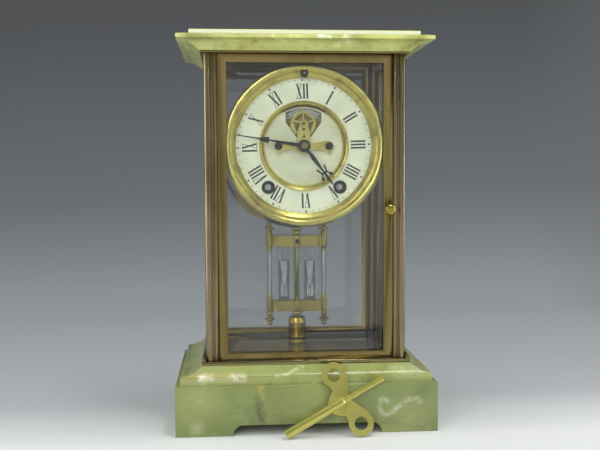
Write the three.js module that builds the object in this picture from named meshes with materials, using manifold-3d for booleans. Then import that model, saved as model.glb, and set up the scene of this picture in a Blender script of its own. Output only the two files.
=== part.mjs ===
// A four-glass mantel clock: a gilt brass case with bevelled glass on an onyx base and under an onyx top,
// with a visible escapement, a two-tube mercury pendulum, a coiled gong and its double-ended winding key.
// Millimetres, +Z up, front towards -Y. The origin is under the middle of the whole, on the shelf.
import * as THREE from 'three';
import { mergeVertices } from 'three/addons/utils/BufferGeometryUtils.js';
import Module from 'manifold-3d';

const wasm = await Module();
wasm.setup();

// Clearances shared by every sub-part
const seatGap = 0.3;
const cutOverrun = 2;

// Facet counts
const broadSides = 36;
const roundSides = 24;
const smallSides = 12;
const arcStepDegrees = 22.5;
const coarseStepDegrees = 45;
const rodSides = 10;
const tinySides = 8;
const sightSides = 32;
const ferruleSides = 18;
const domeSteps = 3;

// Onyx base block with its bracket feet
const baseSideReach = 3.7;
const baseFrontReach = 4.15;
const baseHeight = 37.8;
const footWidth = 43;
const footDepth = 34;
const archHeight = 8;
const archRadius = 7.6;

// Onyx moulding between the block and the brass case
const mouldingSideReach = 15.9;
const mouldingFrontReach = 5;
const mouldingFillet = 5.7;
const mouldingRise = 8;
const caseFootSideReach = 3.45;
const caseFootFrontReach = 1.2;

// Onyx top
const slabSideReach = 16.35;
const slabFrontReach = 9.75;
const slabRise = 8;
const slabEdge = 2.7;
const capInset = 9.2;
const capHeight = 4.7;

// Brass case frame, built round the dial, the movement and the pendulum
const dialSideRoom = 5;
const dialTopRoom = 6.6;
const dialFrontRoom = 11.4;
const pendulumBackRoom = 16.7;
const floorThickness = 3;
const flareHeight = 6.6;
const topFrameThickness = 1.6;
const topFrameOverhang = 2.4;
const postWidth = 9.2;
const postDepth = 10;
const beadRadius = 3;
const filletWidth = 0.8;
const filletInset = 0.5;
const grooveWidth = 0.9;
const grooveInset = 1.6;
const stripInset = 0.6;
const sideGlassThickness = 3;
const sideGlassInset = 4.4;
const sideGlassSlotDepth = 1.5;
const bevelWidth = 11;
const bevelDepth = 1.1;

// Doors, alike at the front and the back
const doorBottomGap = 0.4;
const doorSideGap = 0.5;
const doorSetback = 2.3;
const doorThickness = 4.5;
const stileWidth = 7.1;
const topRailHeight = 6.5;
const bottomRailHeight = 5.4;
const rebateWidth = 2;
const lipThickness = 1.4;
const doorGlassThickness = 2.8;
const hingeInset = 1.9;
const hingeSetback = 1.2;
const hingePinRadius = 1.2;
const hingePinReach = 1.8;
const knobInset = 2.6;
const knobRise = 114.1;
const knobRadius = 4.2;
const knobThickness = 4.6;
const knobStandOff = 0.5;
const spindleRadius = 1.5;
const latchThickness = 1;
const latchWidth = 3.2;
const latchReach = 5.2;

// Floor boss under the pendulum
const bossRadius = 7.9;
const bossTopRadius = 4.7;
const bossHeight = 19;

// Dial, measured from its centre
const chapterInnerRadius = 34;
const chapterWidth = 22;
const chapterThickness = 1.2;
const bezelWall = 4.6;
const bezelBeadRadius = 2.6;
const bezelLap = 4.1;
const bezelHeight = 6.9;
const panRim = 1.5;
const panThickness = 1.1;
const recessDepth = 3.7;
const sightLap = 0.8;
const sightWidth = 5.9;
const sightRise = 1.6;
const centreDiscInset = 1;
const centreDiscThickness = 0.8;
const shieldNarrow = 4.6;
const shieldWide = 14;
const shieldBottom = 5.4;
const shieldShoulder = 18.5;
const shieldTopRadius = 29.6;
const hubHoleRadius = 3.9;
const windingInset = 1.11;
const windingDegrees = 48.84;
const ferruleRadius = 5.2;
const ferruleBore = 3.4;
const ferruleNeck = 4.5;
const ferruleRise = 1.6;
const regulatorPastEdge = 2.7;
const regulatorFerruleRadius = 2.8;
const regulatorBore = 1.7;
const dialFootRadius = 2;
const dialFootRing = 40;
const lugHeight = 16;
const lugThickness = 1.8;
const lugPadWidth = 5.6;

// Movement frame
const motionWorkRoom = 5.4;
const plateThickness = 2;
const plateSpacing = 36;
const pillarRadius = 2.6;
const pillarWaist = 2;
const lowerPlateRadius = 17;
const upperPlateRadius = 10;
const upperPlateX = 34;
const upperPlateZ = 30;
const sidePillarX = 40;
const sidePillarDrop = 1;
const bottomPillarDrop = 44;

// Time train, from the great wheel to the escape wheel
const greatTeeth = 60;
const greatWheelRoom = 1.8;
const greatThickness = 2;
const greatGap = 3;
const secondPinionLeaves = 10;
const secondTeeth = 40;
const secondModule = 0.72;
const centrePinionLeaves = 10;
const secondWheelGap = 0.7;
const wheelThickness = 1;
const centreTeeth = 60;
const centreModule = 0.5;
const centreWheelGap = 16;
const thirdPinionLeaves = 6;
const thirdTeeth = 48;
const thirdModule = 0.5;
const thirdWheelGap = 8;
const escapePinionLeaves = 6;
const strikeGreatTeeth = 54;
const pinionOverlap = 0.5;
const arborRadius = 1.2;
const pivotRadius = 0.7;
const windingArborRadius = 2.4;
const windingSquare = 3.4;
const windingSquareLength = 6.5;
const springHubRadius = 4;
const ratchetRadius = 9;
const ratchetTeeth = 18;
const ratchetThickness = 1.4;

// Mainsprings
const springTurns = 5;
const springSteps = 18;
const springInset = 4.5;
const springStripThickness = 0.45;
const springGap = 3.5;
const springWidth = 20;

// Motion work behind the dial
const cannonLeaves = 10;
const minuteWheelTeeth = 30;
const minutePinionLeaves = 8;
const hourWheelTeeth = 32;
const cannonModule = 0.72;
const minuteWheelReach = 1.7;
const hourWheelGap = 1.6;
const centreArborRadius = 1.6;
const hourPipeRadius = 3.2;

// Hands
const hourHandGap = 0.8;
const minuteHandGap = 1.1;
const handThickness = 0.6;
const handHubRadius = 4.8;
const handTipRadius = 1;
const handNutRadius = 2.7;
const handNutHeight = 1.1;
const hourHandLength = 37.5;
const minuteHandLength = 52;
const shownMinuteShare = 46.5 / 60;
const shownHourShare = 4 / 12;

// Visible escapement
const escapeRise = 17.6;
const escapeTeeth = 30;
const escapeRadius = 11.5;
const escapeToothDepth = 1.9;
const escapeWheelGap = 0.7;
const anchorRise = 30.6;
const palletRingRadius = 13.1;
const palletDegrees = 65;
const palletRadius = 0.85;
const palletLength = 2.4;
const anchorGap = 0.7;
const anchorThickness = 1;
const bridgeStandOff = 2;
const bridgeThickness = 0.9;
const bridgeScrewSpread = 19.6;
const bridgeScrewBoss = 4.2;
const bridgeHubRadius = 6.6;
const bridgeHeadRadius = 3.3;
const bridgeLeafDrop = 6.5;
const bridgeLeafRadius = 0.5;
const crutchDrop = 44;
const crutchAhead = 5.4;
const crutchThickness = 1.4;
const crutchProng = 1.5;

// Suspension
const cockFootThickness = 2;
const cockFootHalfWidth = 7;
const cockArmHeight = 5;
const cockArmHalfWidth = 3.6;
const cockArmReach = 4;
const suspensionWidth = 5;
const suspensionThickness = 0.5;
const suspensionLength = 12;
const hookSize = 6;
const hookHeight = 8;

// Gong and hammer, the gong measured from its own centre
const gongCentreDrop = 5;
const gongInnerRadius = 45.5;
const gongTurnSpacing = 3.8;
const gongTurns = 4;
const gongSteps = 24;
const gongWireRadius = 1.3;
const gongBehind = 20;
const gongBlockWidth = 5.4;
const gongBlockHeight = 9;
const hammerPivotShare = 0.79;
const hammerPivotZ = 8;
const hammerHeadRadius = 3.4;
const hammerHeadLength = 7;
const hammerGap = 0.8;
const hammerDrop = 28;
const hammerArmRadius = 1.1;

// Pendulum
const barHalfSpan = 23.6;
const pendulumBehind = 30;
const barBelowBezel = 11.6;
const upperBarHeight = 10.4;
const vialRoom = 46.8;
const lowerBarHeight = 9.5;
const barHalfDepth = 3.4;
const barEndRadius = 3.3;
const hubHalfWidth = 4.6;
const hubHalfDepth = 5;
const sideRodRadius = 1.85;
const sideFerruleRadius = 2.7;
const lowerFerruleHeight = 5;
const upperFerruleHeight = 4;
const bottomFinialLength = 12;
const topFinialLength = 10.5;
const finialDiscRadius = 4.2;
const pendulumRodRadius = 2.4;
const rodTipLength = 3;
const rodTipGap = 0.9;
const rodCollarRadius = 3.7;
const rodCollarHeight = 8.5;
const vialSpread = 11.2;
const vialRadius = 5;
const vialBore = 3.3;
const vialFloor = 1.4;
const mercuryDrop = 11.6;
const ratingNutRadius = 4.6;
const ratingNutHeight = 1.9;
const ratingNutKnurls = 16;
const knurlDepth = 0.25;

// Winding key, measured along its pipe and across it
const keyLength = 84.3;
const keyThickLength = 49;
const keyThickRadius = 3.55;
const keyThinRadius = 2.2;
const keySocket = 3.8;
const keySocketDepth = 12;
const keySmallSocket = 1.7;
const keyWingThickness = 2.2;
const keyRingAlong = 53;
const keyRingAcross = 20.4;
const keyRingRadius = 9.5;
const keyRingHole = 5;
const keyRootStart = 35;
const keyRootEnd = 54;
const keyRaise = 28.4;
const keyLean = 14;
const keyFootX = -17.4;

// Radii of the dial, worked out from its chapter ring
const chapterOuterRadius = chapterInnerRadius + chapterWidth;
const bezelInnerRadius = chapterOuterRadius - bezelLap;
const regulatorRise = bezelInnerRadius + regulatorPastEdge;
const panRadius = chapterOuterRadius + panRim;
const bezelRadius = panRadius + bezelWall;
const sightOuterRadius = chapterInnerRadius + sightLap;
const sightRadius = sightOuterRadius - sightWidth;
const centreDiscRadius = chapterInnerRadius - centreDiscInset;
const windingRadius = (sightOuterRadius + bezelInnerRadius) / 2 - windingInset;
const windingAngle = THREE.MathUtils.degToRad(windingDegrees);
const windingSpread = windingRadius * Math.cos(windingAngle);
const windingDrop = windingRadius * Math.sin(windingAngle);
const greatTipRadius = windingSpread - greatWheelRoom;
const springOuterRadius = greatTipRadius - springInset;

// Levels, from the base up through the pendulum and the dial to the top
const floorBottom = baseHeight + mouldingFillet + mouldingRise;
const floorTop = floorBottom + floorThickness;
const doorBottom = floorTop + doorBottomGap;
const lowerBarBottom = floorTop + bossHeight + rodTipGap + rodTipLength;
const lowerBarTop = lowerBarBottom + lowerBarHeight;
const upperBarBottom = lowerBarTop + vialRoom;
const upperBarTop = upperBarBottom + upperBarHeight;
const mercuryTop = upperBarBottom - mercuryDrop;
const dialHeight = upperBarTop + barBelowBezel + bezelRadius;
const topFrameBottom = dialHeight + bezelRadius + dialTopRoom;
const topFrameTop = topFrameBottom + topFrameThickness;
const doorTop = topFrameBottom - seatGap;
const slabEdgeBottom = topFrameTop + slabRise;
const slabEdgeTop = slabEdgeBottom + slabEdge;
const capTop = slabEdgeTop + capHeight;
const knobHeight = doorBottom + knobRise;

// Depth of the case, and the faces in it from the front to the back
const motionDepth = recessDepth + centreDiscThickness + seatGap + panThickness + motionWorkRoom;
const movementDepth = motionDepth + plateThickness + plateSpacing + plateThickness;
const contentsDepth = dialFrontRoom + movementDepth + pendulumBehind + pendulumBackRoom;
const caseDepth = contentsDepth + 2 * (doorSetback + doorThickness);
const doorFront = -caseDepth / 2 + doorSetback;
const doorBack = doorFront + doorThickness;
const dialFace = doorBack + dialFrontRoom;
const chapterBack = dialFace + chapterThickness;
const discFront = dialFace + recessDepth;
const discBack = discFront + centreDiscThickness;
const panRecessBack = discBack + seatGap + panThickness;
const bridgeFront = discFront - bridgeStandOff;
const hourHandFront = dialFace - seatGap - sightRise - hourHandGap - handThickness;
const minuteHandFront = hourHandFront - handThickness - minuteHandGap;
const escapeWheelFront = panRecessBack + escapeWheelGap;
const anchorFront = escapeWheelFront + wheelThickness + anchorGap;
const frontPlateFront = panRecessBack + motionWorkRoom;
const minuteWheelFront = frontPlateFront - minuteWheelReach;
const hourWheelFront = minuteWheelFront - hourWheelGap;
const frontPlateBack = frontPlateFront + plateThickness;
const greatFront = frontPlateBack + greatGap;
const secondWheelFront = greatFront + greatThickness + secondWheelGap;
const springFront = greatFront + greatThickness + springGap;
const centreWheelFront = frontPlateBack + centreWheelGap;
const thirdWheelFront = centreWheelFront + wheelThickness + thirdWheelGap;
const backPlateFront = frontPlateBack + plateSpacing;
const backPlateBack = backPlateFront + plateThickness;
const gongPlane = backPlateBack + gongBehind;
const pendulumSetback = backPlateBack + pendulumBehind;
const crutchFront = pendulumSetback - crutchAhead;

// Widths of the case and of the stones under and over it
const postInner = bezelRadius + dialSideRoom;
const caseWidth = 2 * (postInner + postWidth);
const caseFootWidth = caseWidth + 2 * caseFootSideReach;
const caseFootDepth = caseDepth + 2 * caseFootFrontReach;
const mouldingWidth = caseFootWidth + 2 * mouldingSideReach;
const mouldingDepth = caseFootDepth + 2 * mouldingFrontReach;
const baseWidth = mouldingWidth + 2 * baseSideReach;
const baseDepth = mouldingDepth + 2 * baseFrontReach;
const slabWidth = caseFootWidth + 2 * slabSideReach;
const slabDepth = caseFootDepth + 2 * slabFrontReach;
const postBack = -caseDepth / 2 + postDepth;
const doorHalfWidth = postInner - doorSideGap;
const hingeX = -doorHalfWidth + hingeInset;
const hingeY = doorFront + hingeSetback;
const knobX = doorHalfWidth - knobInset;

// Finishes
const finishes = {
  onyx: { color: 0x9caa62, roughness: 0.25, metalness: 0 },
  paleOnyx: { color: 0xc4cc80, roughness: 0.25, metalness: 0 },
  agedBrass: { color: 0x7c7044, roughness: 0.4, metalness: 0.9 },
  giltBrass: { color: 0xd0bf5c, roughness: 0.25, metalness: 0.95 },
  plateBrass: { color: 0xa89a58, roughness: 0.35, metalness: 0.9 },
  glass: { color: 0xdfe8e4, roughness: 0.03, metalness: 0, transparent: true, opacity: 0.25 },
  enamel: { color: 0xe4ebd4, roughness: 0.3, metalness: 0 },
  blued: { color: 0x23262e, roughness: 0.35, metalness: 0.8 },
  steel: { color: 0xa9abac, roughness: 0.3, metalness: 0.95 },
  springSteel: { color: 0x5d6066, roughness: 0.4, metalness: 0.9 },
  mercury: { color: 0xc9cccf, roughness: 0.08, metalness: 1 },
  agate: { color: 0x4a2a1c, roughness: 0.2, metalness: 0 },
};
const materials = {};
for (const [name, finish] of Object.entries(finishes)) {
  materials[name] = new THREE.MeshStandardMaterial(finish);
}

// Small tools for outlines and solids
const degrees = THREE.MathUtils.degToRad;
const standUp = new THREE.Matrix4().set(1, 0, 0, 0, 0, 0, -1, 0, 0, 1, 0, 0, 0, 0, 0, 1);
const lieAcross = new THREE.Matrix4().set(0, 0, 1, 0, 1, 0, 0, 0, 0, 1, 0, 0, 0, 0, 0, 1);

function point(x, y) {
  return new THREE.Vector2(x, y);
}

function polar(radius, angle, centre = point(0, 0)) {
  return point(centre.x + radius * Math.cos(angle), centre.y + radius * Math.sin(angle));
}

function arc(centre, radius, from, to, stepDegrees = arcStepDegrees) {
  const steps = Math.max(1, Math.round(Math.abs(to - from) / degrees(stepDegrees)));
  return Array.from({ length: steps + 1 }, (_, i) => polar(radius, from + ((to - from) * i) / steps, centre));
}

function circle(centre, radius, sides) {
  return Array.from({ length: sides }, (_, i) => polar(radius, (2 * Math.PI * i) / sides, centre));
}

// The outline stretched round a ring of discs given anticlockwise, each [x, y, radius].
function discHull(discs, stepDegrees = arcStepDegrees) {
  const normals = discs.map(([x, y, r], i) => {
    const [nextX, nextY, nextR] = discs[(i + 1) % discs.length];
    const along = point(nextX - x, nextY - y);
    const lean = Math.asin((r - nextR) / along.length());
    return along.angle() - Math.PI / 2 + lean;
  });
  return discs.flatMap(([x, y, r], i) => {
    const from = normals[(i + discs.length - 1) % discs.length];
    const turn = THREE.MathUtils.euclideanModulo(normals[i] - from, 2 * Math.PI);
    return arc(point(x, y), r, from, from + turn, stepDegrees);
  });
}

function rectangle(x0, y0, x1, y1) {
  return [point(x0, y0), point(x1, y0), point(x1, y1), point(x0, y1)];
}

// A closed solid from any closed geometry, with shared corners merged and faces pointing out.
function solid(geometry) {
  const bare = geometry.index ? geometry.toNonIndexed() : geometry.clone();
  bare.deleteAttribute('normal');
  bare.deleteAttribute('uv');
  const merged = mergeVertices(bare);
  const triangles = [];
  const index = merged.index.array;
  const corner = (i) => new THREE.Vector3().fromBufferAttribute(merged.attributes.position, i);
  let volume = 0;
  for (let i = 0; i < index.length; i += 3) {
    const [a, b, c] = [index[i], index[i + 1], index[i + 2]];
    if (a === b || b === c || c === a) {
      continue;
    }
    triangles.push(a, b, c);
    volume += corner(a).dot(corner(b).cross(corner(c)));
  }
  const triVerts = volume < 0 ? triangles.reverse() : triangles;
  return new wasm.Manifold(
    new wasm.Mesh({
      numProp: 3,
      vertProperties: new Float32Array(merged.attributes.position.array),
      triVerts: new Uint32Array(triVerts),
    }),
  );
}

function join(...solids) {
  return solids.reduce((sum, next) => sum.add(next));
}

function cut(body, ...cutters) {
  return cutters.reduce((rest, next) => rest.subtract(next), body);
}

function extrude(outline, depth, matrix, holes = []) {
  const shape = new THREE.Shape(outline);
  shape.holes = holes.map((hole) => new THREE.Path(hole));
  const geometry = new THREE.ExtrudeGeometry(shape, { depth, bevelEnabled: false });
  return matrix ? geometry.applyMatrix4(matrix) : geometry;
}

// A plate seen from the front: its outline is (x, z), and it runs from front to back along +Y.
function plateY(outline, front, back, holes = []) {
  return solid(extrude(outline, back - front, standUp, holes).translate(0, back, 0));
}

function plateZ(outline, bottom, top, holes = []) {
  return solid(extrude(outline, top - bottom, null, holes).translate(0, 0, bottom));
}

// A bar along X whose section is (y, z).
function barX(outline, left, right) {
  return solid(extrude(outline, right - left, lieAcross).translate(left, 0, 0));
}

function block(x0, x1, y0, y1, z0, z1) {
  const box = new THREE.BoxGeometry(x1 - x0, y1 - y0, z1 - z0);
  return solid(box.translate((x0 + x1) / 2, (y0 + y1) / 2, (z0 + z1) / 2));
}

// A turned piece about the Z axis through (x, y), its profile listed as [radius, z].
function turnedZ(profile, x = 0, y = 0, sides = roundSides) {
  const geometry = new THREE.LatheGeometry(profile.map(([r, z]) => point(r, z)), sides);
  return solid(geometry.applyMatrix4(standUp).translate(x, y, 0));
}

// A turned piece about a line along Y through (x, z), its profile listed as [radius, y].
function turnedY(profile, x = 0, z = 0, sides = roundSides) {
  const geometry = new THREE.LatheGeometry(profile.map(([r, y]) => point(r, y)), sides);
  return solid(geometry.translate(x, 0, z));
}

function rodZ(radius, bottom, top, x = 0, y = 0, sides = smallSides) {
  return turnedZ([[0, bottom], [radius, bottom], [radius, top], [0, top]], x, y, sides);
}

function rodY(radius, front, back, x = 0, z = 0, sides = smallSides) {
  return turnedY([[0, front], [radius, front], [radius, back], [0, back]], x, z, sides);
}

// A rectangular pyramid of rings, each [half width, half depth, z], as cut stone is moulded.
function stoneLoft(rings) {
  const corners = rings.flatMap(([w, d, z]) => [-w, -d, z, w, -d, z, w, d, z, -w, d, z]);
  const index = [0, 2, 1, 0, 3, 2];
  const last = 4 * (rings.length - 1);
  index.push(last, last + 1, last + 2, last, last + 2, last + 3);
  for (let ring = 0; ring < last; ring += 4) {
    for (let side = 0; side < 4; side += 1) {
      const a = ring + side;
      const b = ring + ((side + 1) % 4);
      index.push(a, b, b + 4, a, b + 4, a + 4);
    }
  }
  const geometry = new THREE.BufferGeometry();
  geometry.setAttribute('position', new THREE.Float32BufferAttribute(corners, 3));
  geometry.setIndex(index);
  return solid(geometry);
}

// A skin over a list of sections, each the same number of 3-D points, closed at both ends.
function sectionLoft(sections) {
  const sides = sections[0].length;
  const positions = sections.flat().flatMap((p) => [p.x, p.y, p.z]);
  const index = [];
  for (let s = 0; s + 1 < sections.length; s += 1) {
    for (let i = 0; i < sides; i += 1) {
      const a = s * sides + i;
      const b = s * sides + ((i + 1) % sides);
      index.push(a, b, b + sides, a, b + sides, a + sides);
    }
  }
  const last = (sections.length - 1) * sides;
  for (let i = 1; i + 1 < sides; i += 1) {
    index.push(0, i + 1, i, last, last + i, last + i + 1);
  }
  const geometry = new THREE.BufferGeometry();
  geometry.setAttribute('position', new THREE.Float32BufferAttribute(positions, 3));
  geometry.setIndex(index);
  return solid(geometry);
}

const clock = new THREE.Group();
const dialGroup = new THREE.Group();
dialGroup.position.z = dialHeight;
clock.add(dialGroup);

function place(parent, name, body, material) {
  const mesh = body.getMesh();
  const geometry = new THREE.BufferGeometry();
  geometry.setAttribute('position', new THREE.BufferAttribute(new Float32Array(mesh.vertProperties), 3));
  geometry.setIndex(new THREE.BufferAttribute(new Uint32Array(mesh.triVerts), 1));
  geometry.computeVertexNormals();
  const piece = new THREE.Mesh(geometry, material);
  piece.name = name;
  parent.add(piece);
  return piece;
}

// Onyx base: a block whose underside is arched between four bracket feet
function archOutline(halfSpan) {
  return [
    point(-halfSpan, -cutOverrun),
    point(halfSpan, -cutOverrun),
    point(halfSpan, archHeight - archRadius),
    ...arc(point(halfSpan - archRadius, archHeight - archRadius), archRadius, 0, Math.PI / 2),
    ...arc(point(archRadius - halfSpan, archHeight - archRadius), archRadius, Math.PI / 2, Math.PI),
  ];
}

function makeBase() {
  const halfWidth = baseWidth / 2;
  const halfDepth = baseDepth / 2;
  const stone = block(-halfWidth, halfWidth, -halfDepth, halfDepth, 0, baseHeight);
  const alongY = plateY(archOutline(halfWidth - footWidth), -halfDepth - cutOverrun, halfDepth + cutOverrun);
  const alongX = barX(archOutline(halfDepth - footDepth), -halfWidth - cutOverrun, halfWidth + cutOverrun);
  place(clock, 'onyx_base', cut(stone, alongY, alongX), materials.onyx);
}

// Onyx moulding: an upright fillet, then an ogee that runs in to the foot of the brass case
const ogeeSteps = 6;

function ogeeShare(t) {
  return t - Math.sin(2 * Math.PI * t) / (2 * Math.PI);
}

function ogeeRings(outer, inner, bottom, top) {
  return Array.from({ length: ogeeSteps + 1 }, (_, i) => {
    const t = i / ogeeSteps;
    const share = (t + ogeeShare(t)) / 2;
    const inset = Math.sin((t * Math.PI) / 2);
    return [
      THREE.MathUtils.lerp(outer[0], inner[0], inset),
      THREE.MathUtils.lerp(outer[1], inner[1], inset),
      THREE.MathUtils.lerp(bottom, top, share),
    ];
  });
}

function makeMoulding() {
  const outer = [mouldingWidth / 2, mouldingDepth / 2];
  const inner = [caseFootWidth / 2, caseFootDepth / 2];
  const filletTop = baseHeight + mouldingFillet;
  const rings = [[...outer, baseHeight], ...ogeeRings(outer, inner, filletTop, floorBottom)];
  place(clock, 'base_moulding', stoneLoft(rings), materials.paleOnyx);
}

// Onyx top: an ogee underside, an upright edge and a raised field with a sloping margin
function makeTop() {
  const outer = [slabWidth / 2, slabDepth / 2];
  const inner = [caseFootWidth / 2, caseFootDepth / 2];
  const underside = ogeeRings(outer, inner, slabEdgeBottom, topFrameTop).reverse();
  const slope = capInset / 2;
  const rings = [
    ...underside,
    [...outer, slabEdgeTop],
    [outer[0] - slope, outer[1] - slope, slabEdgeTop + capHeight / 4],
    [outer[0] - capInset, outer[1] - capInset, slabEdgeTop + capHeight / 4],
    [outer[0] - capInset, outer[1] - capInset, capTop],
  ];
  place(clock, 'onyx_top', stoneLoft(rings), materials.paleOnyx);
}

// Brass floor plate with a coved flare along each side, and holes for the door pins
function pinHoles(bottom, top) {
  const radius = hingePinRadius + seatGap;
  return [rodZ(radius, bottom, top, hingeX, hingeY), rodZ(radius, bottom, top, -hingeX, -hingeY)];
}

function flareOutline(side) {
  const inner = caseWidth / 2 + seatGap;
  const outer = caseFootWidth / 2;
  const width = outer - inner;
  const cove = [];
  for (let i = 0; i <= ogeeSteps; i += 1) {
    const angle = (Math.PI / 2) * (i / ogeeSteps);
    const x = outer - width * (1 - Math.cos(angle)) * (1 - filletInset / width);
    cove.push(point(side * x, floorTop + (flareHeight - floorThickness) * Math.sin(angle)));
  }
  const outline = [point(side * inner, floorBottom), point(side * outer, floorBottom), ...cove];
  outline.push(point(side * inner, floorBottom + flareHeight));
  return side > 0 ? outline : outline.reverse();
}

function makeFloor() {
  const halfWidth = caseFootWidth / 2;
  const halfDepth = caseFootDepth / 2;
  const plate = block(-halfWidth, halfWidth, -halfDepth, halfDepth, floorBottom, floorTop);
  const flares = [-1, 1].map((side) => plateY(flareOutline(side), -caseDepth / 2, caseDepth / 2));
  const holes = pinHoles(floorTop - hingePinReach - seatGap, floorTop + cutOverrun);
  place(clock, 'case_floor', cut(join(plate, ...flares), ...holes), materials.agedBrass);
}

function makeTopFrame() {
  const halfWidth = caseWidth / 2 + topFrameOverhang;
  const halfDepth = caseFootDepth / 2;
  const plate = block(-halfWidth, halfWidth, -halfDepth, halfDepth, topFrameBottom, topFrameTop);
  const holes = pinHoles(topFrameBottom - cutOverrun, topFrameTop + cutOverrun);
  place(clock, 'case_top_frame', cut(plate, ...holes), materials.agedBrass);
}

// Posts: a round bead on the outer corner, a fillet and a groove on each face, and a slot for the side glass
function postOutline() {
  const reach = 0.8 * beadRadius;
  const filletStart = beadRadius + reach;
  const grooveStart = filletStart + filletWidth;
  const stripStart = grooveStart + grooveWidth;
  const neck = 0.6 * beadRadius;
  const startAngle = -Math.atan2(neck, reach);
  const bead = arc(point(beadRadius, beadRadius), beadRadius, startAngle, -1.5 * Math.PI - startAngle);
  const face = [
    [stripStart, stripInset],
    [stripStart, grooveInset],
    [grooveStart, grooveInset],
    [grooveStart, filletInset],
    [filletStart, filletInset],
  ];
  const slotHalf = sideGlassThickness / 2 + seatGap;
  const slotBottom = postDepth - sideGlassSlotDepth;
  return [
    point(postWidth, stripInset),
    ...face.map(([u, v]) => point(u, v)),
    ...bead,
    ...face.reverse().map(([u, v]) => point(v, u)),
    point(stripInset, postDepth),
    point(sideGlassInset - slotHalf, postDepth),
    point(sideGlassInset - slotHalf, slotBottom),
    point(sideGlassInset + slotHalf, slotBottom),
    point(sideGlassInset + slotHalf, postDepth),
    point(postWidth, postDepth),
  ];
}

function makePosts() {
  const outline = postOutline();
  for (const [end, sideY] of [['front', 1], ['back', -1]]) {
    for (const [hand, sideX] of [['left', 1], ['right', -1]]) {
      const corner = outline.map((p) => point(
        sideX * (p.x - caseWidth / 2),
        sideY * (p.y - caseDepth / 2),
      ));
      place(clock, `post_${end}_${hand}`, plateZ(corner, floorTop, topFrameBottom), materials.agedBrass);
    }
  }
}

// Bevelled glass: a pane whose face slopes back along all four edges, thickness along +Z here
function bevelledPane(width, height, thickness) {
  const [w, h] = [width / 2, height / 2];
  return stoneLoft([
    [w, h, 0],
    [w, h, thickness - bevelDepth],
    [w - bevelWidth, h - bevelWidth, thickness],
  ]);
}

function makeSideGlass() {
  const reach = 2 * (-postBack + sideGlassSlotDepth - seatGap);
  const height = topFrameBottom - floorTop - 2 * seatGap;
  for (const [hand, side] of [['left', -1], ['right', 1]]) {
    const pane = bevelledPane(height, reach, sideGlassThickness);
    const glass = place(clock, `side_glass_${hand}`, pane, materials.glass);
    glass.rotation.y = (side * Math.PI) / 2;
    const middle = caseWidth / 2 - sideGlassInset;
    glass.position.set(side * (middle - sideGlassThickness / 2), 0, (floorTop + topFrameBottom) / 2);
  }
}

// Doors: a frame with a glazing rebate and its two hinge pins, the pane, and the turning knob with its latch
const doorCentreZ = (doorBottom + doorTop) / 2;

function doorFrame() {
  const opening = doorHalfWidth - stileWidth;
  const sight = [doorBottom + bottomRailHeight, doorTop - topRailHeight];
  const slab = block(-doorHalfWidth, doorHalfWidth, doorFront, doorBack, doorBottom, doorTop);
  const light = block(-opening, opening, doorFront - cutOverrun, doorBack + cutOverrun, ...sight);
  const wide = opening + rebateWidth;
  const rebateZ = [sight[0] - rebateWidth, sight[1] + rebateWidth];
  const rebate = block(-wide, wide, doorFront + lipThickness, doorBack + cutOverrun, ...rebateZ);
  const hole = rodY(
    spindleRadius + seatGap, doorFront - cutOverrun, doorBack + cutOverrun, knobX, knobHeight,
  );
  const pins = [
    rodZ(
      hingePinRadius, doorBottom - doorBottomGap - hingePinReach, doorBottom + lipThickness, hingeX, hingeY,
    ),
    rodZ(hingePinRadius, doorTop - lipThickness, topFrameTop - seatGap, hingeX, hingeY),
  ];
  return join(cut(slab, light, rebate, hole), ...pins);
}

function knobSolid() {
  const latchBack = postBack + seatGap + latchThickness;
  const neckFront = -caseDepth / 2 - knobStandOff;
  const face = neckFront - knobThickness;
  const turned = turnedY([
    [0, latchBack],
    [spindleRadius, latchBack],
    [spindleRadius, neckFront],
    [knobRadius * 0.7, neckFront - knobThickness * 0.1],
    [knobRadius, neckFront - knobThickness * 0.4],
    [knobRadius, neckFront - knobThickness * 0.62],
    [knobRadius * 0.82, neckFront - knobThickness * 0.86],
    [knobRadius * 0.5, face],
    [0, face],
  ], knobX, knobHeight, smallSides);
  const half = latchWidth / 2;
  const latch = block(
    knobX - half, knobX + half, latchBack - latchThickness, latchBack,
    knobHeight - half, knobHeight + latchReach,
  );
  return join(turned, latch);
}

function makeDoor(end, turn) {
  const door = new THREE.Group();
  door.rotation.z = turn;
  clock.add(door);
  place(door, `${end}_door_frame`, doorFrame(), materials.agedBrass);
  const width = 2 * (doorHalfWidth - stileWidth + rebateWidth - seatGap);
  const height = doorTop - doorBottom - topRailHeight - bottomRailHeight + 2 * (rebateWidth - seatGap);
  const pane = bevelledPane(width, height, doorGlassThickness);
  const glass = place(door, `${end}_door_glass`, pane, materials.glass);
  glass.rotation.x = Math.PI / 2;
  glass.position.set(0, doorBack, doorCentreZ + (bottomRailHeight - topRailHeight) / 2);
  place(door, `${end}_door_knob`, knobSolid(), materials.agedBrass);
}

// Domed boss that stands on the floor plate under the pendulum
function makeBoss() {
  const shoulder = floorTop + bossHeight * 0.72;
  const profile = [[0, floorTop], [bossRadius, floorTop], [bossRadius, shoulder]];
  for (let i = 1; i <= domeSteps; i += 1) {
    const angle = (Math.PI / 2) * (i / domeSteps);
    profile.push([
      bossTopRadius + (bossRadius - bossTopRadius) * Math.cos(angle),
      shoulder + (floorTop + bossHeight - shoulder) * Math.sin(angle),
    ]);
  }
  profile.push([0, floorTop + bossHeight]);
  place(clock, 'floor_boss', turnedZ(profile, 0, pendulumSetback), materials.giltBrass);
}

// Dial: pan, enamel chapter ring, gilt bezel and sight ring, recessed centre and winding ferrules
const windingHoles = [-1, 1].map((side) => point(side * windingSpread, -windingDrop));

function holeY(radius, x, z, sides = smallSides) {
  return rodY(radius, dialFace - bezelRadius, 0, x, z, sides);
}

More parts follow.
